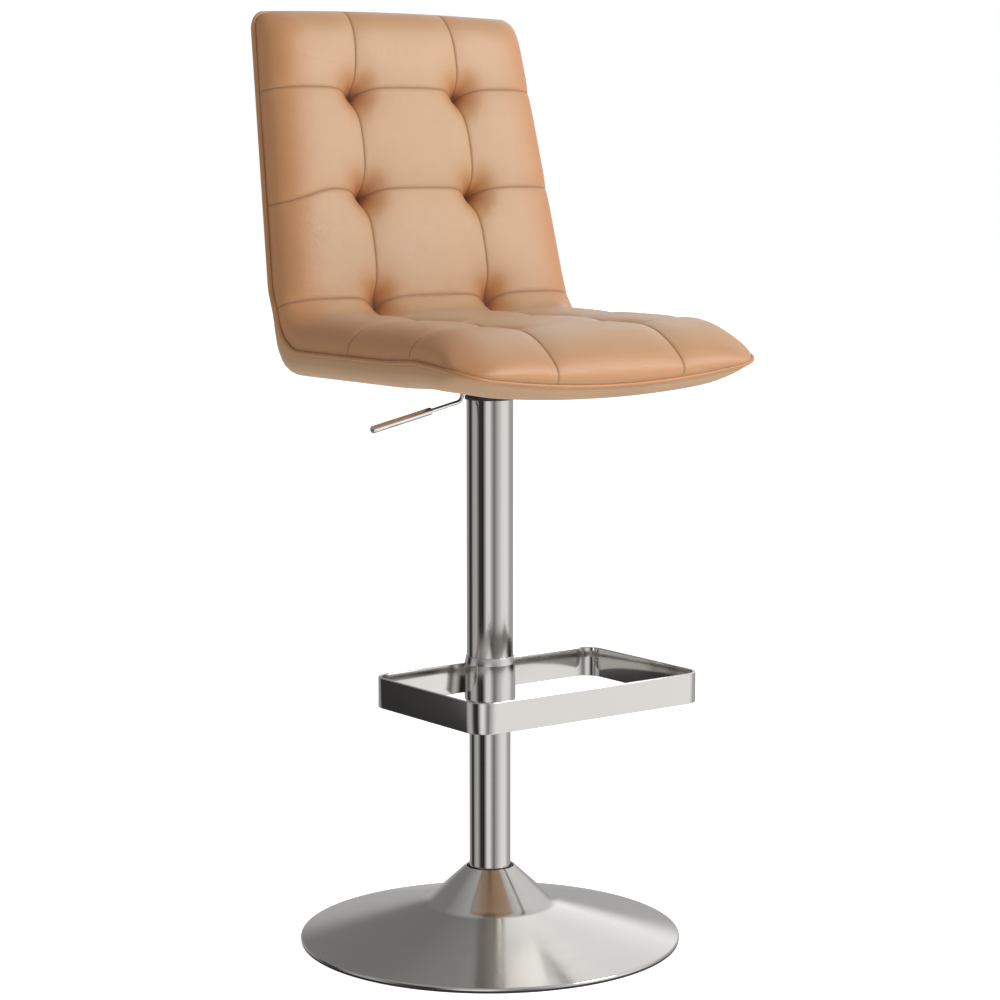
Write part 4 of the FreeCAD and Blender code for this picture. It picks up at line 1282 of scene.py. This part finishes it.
@dataclass
class Welt:
    """The piped cord sewn in where the pad meets the cover."""

    form: SeatForm
    grid: PadGrid
    radius: float = 2.5 * MM
    stand: float = 1.6 * MM
    pitch: float = 4 * MM

    def path(self) -> list[Vector]:
        """The cord's centreline, once round the seat."""
        grid, form = self.grid, self.form
        last_column, last_row = len(grid.columns) - 1, len(grid.rows) - 1
        spots = [(column, 0) for column in range(last_column)]
        spots += [(last_column, row) for row in range(last_row)]
        spots += [(column, last_row) for column in range(last_column, 0, -1)]
        spots += [(0, row) for row in range(last_row, 0, -1)]
        points, ups = [], []
        for column, row in spots:
            distance = grid.rows[row]
            points.append(form.on_line("welt", grid.across(column, row), distance))
            ahead = form.lines["welt"].ahead(form.matched(distance, "welt"))
            ups.append(Vector((0.0, -ahead.y, ahead.x)))
        moved = []
        for k, (point, up) in enumerate(zip(points, ups)):
            along = points[(k + 1) % len(points)] - points[k - 1]
            moved.append(point + along.cross(up).normalized() * self.stand)
        return self.even(moved)

    def even(self, points: Sequence[Vector]) -> list[Vector]:
        """The same closed line with points at an even pitch."""
        ring = [*points, points[0]]
        marks = [0.0]
        for a, b in zip(ring, ring[1:]):
            marks.append(marks[-1] + (b - a).length)
        count = round(marks[-1] / self.pitch)
        found = []
        for k in range(count):
            goal = marks[-1] * k / count
            n = min(bisect_right(marks, goal), len(ring) - 1)
            share = (goal - marks[n - 1]) / max(marks[n] - marks[n - 1], 1e-9)
            found.append(ring[n - 1].lerp(ring[n], share))
        return found

    def build(self, workshop: Workshop) -> bpy.types.Object:
        """Make the cord."""
        mesh = swept(self.path(), self.radius, closed=True)
        return workshop.piece("welt_cord", mesh, "tan_welt", "seat", ["welt_piping"], sharp=60.0)


# ---------------------------------------------------------------- metalwork


def turned_piece(
    workshop: Workshop,
    name: str,
    section: Sequence[tuple[float, float, float]],
    slot: str,
    body: str,
    node: str,
    steps: int = 128,
) -> bpy.types.Object:
    """A piece turned round the Z axis in place of a CAD node.

    Args:
        workshop: What makes the piece.
        name: The piece's name.
        section: The corners of its section in mm, as (radius, height, rounding).
        slot: The record's material slot.
        body: The CAD body that it rides on.
        node: The CAD node that it stands for.
        steps: How many faces go round.

    Returns:
        The piece.
    """
    corners = [Corner(across * MM, up * MM, soft * MM) for across, up, soft in section]
    return workshop.piece(name, turned(Outline(corners, closed=True, turn=12.0), steps), slot, body, [node], 50.0)


@dataclass
class Base:
    """The trumpet-shaped base with its rubber ring, and the column that stands in it."""

    rim: float = 230.0
    rim_height: float = 6.0
    crease: tuple[float, float] = (77.0, 46.0)
    mouth: tuple[float, float] = (29.4, 90.0)
    crease_round: float = 25.0
    sheet: float = 1.5
    column: float = 25.0
    column_top: float = 413.0
    bush: float = 24.95

    def build(self, workshop: Workshop) -> None:
        """Make the base's cover, ring, seal, column and the bush at its top."""
        t = self.sheet
        (cx, cz), (mx, mz) = self.crease, self.mouth
        cover = [
            (self.rim, 3.0, 0.4),
            (self.rim, self.rim_height, 2.2),
            (cx, cz, self.crease_round),
            (mx, mz, 0.6),
            (mx - t, mz - t, 0.4),
            (cx - 0.6 * t, cz - t, self.crease_round),
            (self.rim - t, self.rim_height - t, 1.0),
            (self.rim - t, 3.0, 0.4),
        ]
        turned_piece(workshop, "base_shell", cover, "brushed_base", "base", "base_cover", 256)
        ring = [(229.5, 0.0, 0.8), (229.5, 3.0, 0.6), (220.0, 3.0, 0.6), (220.0, 0.0, 0.8)]
        turned_piece(workshop, "floor_pad", ring, "rubber", "base", "floor_ring", 200)
        seal = [(25.05, 86.0, 0.4), (25.05, 89.7, 0.6), (27.1, 89.5, 0.7), (27.1, 86.0, 0.4)]
        turned_piece(workshop, "mouth_seal", seal, "rubber", "base", "dust_seal")
        c, top = self.column, self.column_top
        tube = [(c - 1.0, 12.0, 0.3), (c, 72.0, 0), (c, top, 0.7), (c - 1.5, top, 0.3), (c - 1.5, 72.0, 0)]
        tube.append((c - 2.5, 12.0, 0.3))
        turned_piece(workshop, "fixed_column", tube, "polished_tube", "base", "column_tube")
        bush = [(14.2, 333.0, 0.4), (23.4, 333.0, 0.6), (23.4, top, 0), (self.bush, top, 0.3)]
        bush += [(self.bush, top + 3.0, 1.2), (14.2, top + 3.0, 0.8)]
        turned_piece(workshop, "slide_bush", bush, "black_plastic", "base", "guide_bush")


@dataclass
class Footrest:
    """The sliding shroud with the bent strip that the feet rest on."""

    shroud: float = 28.0
    bore: float = 26.5
    foot: float = 293.3
    top: float = 657.0
    collar: float = 30.8
    collar_foot: float = 292.5
    collar_top: float = 348.0
    strip: float = 4 * MM
    corner: float = 25 * MM
    edge: float = 0.9 * MM
    segments: int = 10
    collar_half: float = 27 * MM

    def build(self, workshop: Workshop) -> None:
        """Make the shroud, its top bush, the collar and the loop."""
        r, b, low, top = self.shroud, self.bore, self.foot, self.top
        tube = [(r, low, 0.4), (r, top, 0.4), (b, top, 0.3), (b, low, 0.3)]
        turned_piece(workshop, "shroud_sleeve", tube, "polished_tube", "seat", "shroud_tube")
        bush = [(22.02, top - 20, 0.5), (b - 0.02, top - 20, 0.6), (b - 0.02, top, 0), (r + 2, top, 0.5)]
        bush += [(r + 2, top + 4.5, 1.0), (22.02, top + 4.5, 0.5)]
        turned_piece(workshop, "shroud_bush", bush, "black_plastic", "seat", "shroud_top_bush")
        low, top, inner, outer = self.collar_foot, self.collar_top, r + 0.02, self.collar
        ring = [(inner, low, 0.2), (inner + 0.8, low, 0.3), (outer, low + 3.5, 1.2), (outer, top - 9, 3.0)]
        ring += [(inner + 0.8, top, 0.3), (inner, top, 0.2)]
        turned_piece(workshop, "clamp_collar", ring, "polished_tube", "seat", "footrest_collar")
        self.loop(workshop)

    def loop(self, workshop: Workshop) -> None:
        """Make the flat strip bent into a rectangle, with its four corners rounded."""
        low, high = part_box("footrest_loop")
        mesh = bmesh.new()
        half = Vector(((high.x - low.x) / 2, (high.y - low.y) / 2))
        middle = Vector(((high.x + low.x) / 2, (high.y + low.y) / 2))
        loops = []
        for inset in (0.0, self.strip):
            made = bmesh.ops.create_grid(mesh, x_segments=1, y_segments=1, size=1.0)
            for vert in made["verts"]:
                vert.co = Vector(
                    (
                        middle.x + math.copysign(half.x - inset, vert.co.x),
                        middle.y + math.copysign(half.y - inset, vert.co.y),
                        low.z,
                    )
                )
            bmesh.ops.bevel(
                mesh,
                geom=made["verts"],
                affect="VERTICES",
                offset=self.corner - inset,
                segments=self.segments,
                profile=0.5,
                material=-1,
            )
            loops.append({vert for vert in mesh.verts if not any(vert in done for done in loops)})
        faces = mesh.faces[:]
        edges = mesh.edges[:]
        bmesh.ops.delete(mesh, geom=faces, context="FACES_ONLY")
        bmesh.ops.bridge_loops(mesh, edges=edges)
        raised = bmesh.ops.extrude_face_region(mesh, geom=mesh.faces[:], use_keep_orig=True)
        verts = [item for item in raised["geom"] if isinstance(item, bmesh.types.BMVert)]
        bmesh.ops.translate(mesh, verts=verts, vec=(0, 0, high.z - low.z))
        for side in (-1.0, 1.0):
            bmesh.ops.bisect_plane(
                mesh,
                geom=[*mesh.verts, *mesh.edges, *mesh.faces],
                plane_co=(side * self.collar_half, 0.0, 0.0),
                plane_no=(1.0, 0.0, 0.0),
            )
        inside = []
        for face in mesh.faces:
            centre = face.calc_center_median()
            if abs(centre.x) < self.collar_half and centre.y > middle.y:
                inside.append(face)
        bmesh.ops.delete(mesh, geom=inside, context="FACES")
        bmesh.ops.holes_fill(mesh, edges=[edge for edge in mesh.edges if edge.is_boundary])
        bmesh.ops.recalc_face_normals(mesh, faces=mesh.faces)
        rims = [edge for edge in mesh.edges if len(edge.link_faces) == 2 and edge.calc_face_angle(0) > 1.2]
        bmesh.ops.bevel(
            mesh, geom=rims, affect="EDGES", offset=self.edge, segments=3, profile=0.5, material=-1
        )
        workshop.piece("footrest_strip", mesh, "brushed_strip", "seat", ["footrest_loop"], sharp=50.0)


@dataclass
class Lever:
    """The height lever: a bent rod with a grip and its end cap."""

    bend: tuple[float, float] = (-42.5 * MM, 656.5 * MM)
    slope: float = math.radians(11.9)
    reach: float = 170 * MM
    rod: float = 2.5 * MM
    grip: float = 4.5 * MM
    grip_length: float = 86 * MM
    cap_length: float = 4 * MM
    bend_radius: float = 8 * MM

    def build(self, workshop: Workshop) -> None:
        """Make the rod, the grip and the cap."""
        run = (self.reach + self.bend[0]) / math.cos(self.slope)
        ahead = Vector((-math.cos(self.slope), 0.0, -math.sin(self.slope)))
        start = Vector((self.bend[0], 0.0, self.bend[1]))
        end = start + ahead * (run - self.cap_length)
        line = Outline(
            [
                Corner(3 * MM, 680 * MM),
                Corner(-36 * MM, 680 * MM, self.bend_radius),
                Corner(*self.bend, self.bend_radius),
                Corner(end.x, end.z),
            ],
            turn=8.0,
        )
        rod = swept([Vector((point.x, 0.0, point.y)) for point in line.points], self.rod, False, 20)
        workshop.piece("pull_rod", rod, "polished_lever", "lever", ["lever_rod"], sharp=60.0)
        r, length = self.grip / MM, self.grip_length / MM
        tail = run / MM
        low, high = tail - length, tail - self.cap_length / MM
        inner = self.rod / MM + 0.02
        sleeve = [(inner, low, 0.3), (r, low, 0.9), (r, high, 0.35), (inner, high, 0.2)]
        cap = [(0, high, 0), (r, high, 0.35), (r, tail - 1.6, 1.6), (r / 2.4, tail, 1.6), (0, tail, 0)]
        for name, section, node in (("grip_sleeve", sleeve, "lever_grip"), ("end_cap", cap, "grip_cap")):
            corners = [Corner(across * MM, up * MM, soft * MM) for across, up, soft in section]
            mesh = turned(Outline(corners, closed=True, turn=12.0), 48)
            turn = Matrix.Rotation(-(math.pi / 2 + self.slope), 4, "Y")
            bmesh.ops.transform(mesh, verts=mesh.verts, matrix=Matrix.Translation(start) @ turn)
            workshop.piece(name, mesh, "polished_lever", "lever", [node], sharp=50.0)


@dataclass(frozen=True)
class Panel:
    """How bright the room is in one direction.

    Attributes:
        facing: The direction, in degrees round from +X towards +Y, from -180 to 180.
        glow: How bright it is.
    """

    facing: float
    glow: float


@dataclass
class Stage:
    """The floor, the lights and the camera."""

    walls: tuple[Panel, ...] = (
        Panel(-180, 0.05),
        Panel(-160, 0.03),
        Panel(-150, 0.5),
        Panel(-143, 1.05),
        Panel(-128, 1.15),
        Panel(-115, 0.5),
        Panel(-105, 0.25),
        Panel(-92, 0.6),
        Panel(-62, 1.2),
        Panel(-35, 1.25),
        Panel(-10, 0.6),
        Panel(20, 0.5),
        Panel(60, 0.5),
        Panel(95, 0.45),
        Panel(108, 0.3),
        Panel(116, 0.03),
        Panel(130, 0.06),
        Panel(142, 0.55),
        Panel(162, 0.65),
        Panel(172, 0.3),
        Panel(180, 0.05),
    )
    ceiling: tuple[Panel, ...] = (
        Panel(-180, 0.35),
        Panel(-90, 0.8),
        Panel(-30, 1.1),
        Panel(30, 0.9),
        Panel(42, 1.5),
        Panel(51, 1.5),
        Panel(57, 0.22),
        Panel(80, 0.3),
        Panel(180, 0.35),
    )
    shade: float = 0.33
    sunny: float = 0.58
    bounce: float = 0.42

    def build(self) -> None:
        """Set the stage up."""
        self.floor()
        self.camera()
        self.lights()
        self.room()
        bpy.context.scene.view_settings.view_transform = "Standard"

    def floor(self) -> None:
        """A wide white floor that glows: evenly white to the camera, and at a lower strength for every other ray,
        so that it lights the stool from below.
        """
        mesh = bmesh.new()
        bmesh.ops.create_grid(mesh, x_segments=1, y_segments=1, size=12.0)
        data = bpy.data.meshes.new("floor")
        mesh.to_mesh(data)
        mesh.free()
        made = bpy.data.objects.new("floor", data)
        bpy.context.scene.collection.objects.link(made)
        made.visible_glossy = False
        material = bpy.data.materials.new("floor")
        material.use_nodes = True
        shader = material.node_tree.nodes["Principled BSDF"]
        shader.inputs["Base Color"].default_value = (0.8, 0.8, 0.8, 1)
        shader.inputs["Roughness"].default_value = 0.9
        shader.inputs["Specular IOR Level"].default_value = 0.0
        shader.inputs["Emission Color"].default_value = (1, 1, 1, 1)
        wires = Wiring(material.node_tree)
        seen = wires.node("LightPath").outputs["Is Camera Ray"]
        glow = wires.maths("MULTIPLY_ADD", seen, 0.9 - self.bounce, self.bounce)
        wires.feed(shader.inputs["Emission Strength"], glow)
        data.materials.append(material)

    def camera(self) -> None:
        """The camera, at standing height in front of the stool and to its left."""
        data = bpy.data.cameras.new("camera")
        data.lens = 97.3
        data.sensor_width = 36.0
        made = bpy.data.objects.new("camera", data)
        bpy.context.scene.collection.objects.link(made)
        made.location = (-1.8998, -2.5765, 0.9448)
        aim = Vector((0.0097, -0.0072, 0.5358)) - made.location
        made.rotation_euler = aim.to_track_quat("-Z", "Y").to_euler()
        bpy.context.scene.camera = made

    def lamp(self, name: str, place: Vector, aim: Vector, size: float, power: float) -> None:
        """A soft square light.

        Args:
            name: Its name.
            place: Where it hangs.
            aim: What it points at.
            size: The length of its side.
            power: Its power in watts.
        """
        data = bpy.data.lights.new(name, "AREA")
        data.size = size
        data.energy = power
        made = bpy.data.objects.new(name, data)
        bpy.context.scene.collection.objects.link(made)
        made.location = place
        made.rotation_euler = (aim - place).to_track_quat("-Z", "Y").to_euler()

    def lights(self) -> None:
        """A soft key light from the front and right."""
        self.lamp("key", Vector((1.7, -2.5, 2.2)), Vector((0, 0, 0.8)), 1.3, 75.0)

    @staticmethod
    def round_the_room(wires: Wiring, facing: object, panels: Sequence[Panel]) -> bpy.types.NodeSocket:
        """The room's brightness as it changes from panel to panel."""
        made = wires.node("ValToRGB")
        wires.feed(made.inputs[0], facing)
        ramp = made.color_ramp
        while len(ramp.elements) < len(panels):
            ramp.elements.new(0.5)
        for stop, panel in zip(ramp.elements, panels):
            stop.position = panel.facing / 360 + 0.5
            stop.color = (panel.glow, panel.glow, panel.glow, 1)
        return made.outputs[0]

    def room(self) -> None:
        """White behind the stool; for reflections, pale walls with dark gaps and a bright ceiling."""
        world = bpy.data.worlds.new("room")
        world.use_nodes = True
        bpy.context.scene.world = world
        world.node_tree.nodes.clear()
        wires = Wiring(world.node_tree)
        split = wires.node("SeparateXYZ")
        wires.feed(split.inputs[0], wires.node("TexCoord").outputs["Generated"])
        x, y, z = split.outputs
        facing = wires.maths("MULTIPLY_ADD", wires.maths("ARCTAN2", y, x), 1 / math.tau, 0.5)
        low = self.round_the_room(wires, facing, self.walls)
        high = self.round_the_room(wires, facing, self.ceiling)
        mirrored = wires.blend(wires.ramp(z, 0.14, 0.3), low, high)
        mirrored = wires.blend(wires.ramp(z, 0.7, 0.95), mirrored, (0.6, 0.6, 0.6, 1))
        path = wires.node("LightPath").outputs
        side = wires.maths("MULTIPLY_ADD", x, 0.75, wires.maths("MULTIPLY_ADD", y, -0.35, 0.45), clamp=True)
        soft = wires.blend(side, rgba((self.shade,) * 3), rgba((self.sunny,) * 3))
        colour = wires.blend(path["Is Glossy Ray"], soft, mirrored)
        colour = wires.blend(path["Is Camera Ray"], colour, (1, 1, 1, 1))
        back = wires.node("Background")
        wires.feed(back.inputs["Color"], colour)
        wires.feed(wires.node("OutputWorld").inputs[0], back.outputs[0])


def main() -> None:
    """Build the stool and its stage."""
    logging.basicConfig(level=logging.INFO, format="%(message)s")
    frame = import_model()
    wardrobe = Wardrobe()
    workshop = Workshop(wardrobe)
    for subpart in frame["record"]["subparts"]:
        wardrobe.dress(frame["nodes"][subpart["node"]], subpart["material_slot"])
    form = SeatForm()
    grid = PadGrid(form)
    Cushion(form, grid).build(workshop)
    Cover(form, grid).build(workshop)
    Board(form, grid).build(workshop)
    Welt(form, grid).build(workshop)
    Base().build(workshop)
    Footrest().build(workshop)
    Lever().build(workshop)
    Stage().build()


if __name__ == "__main__":
    main()
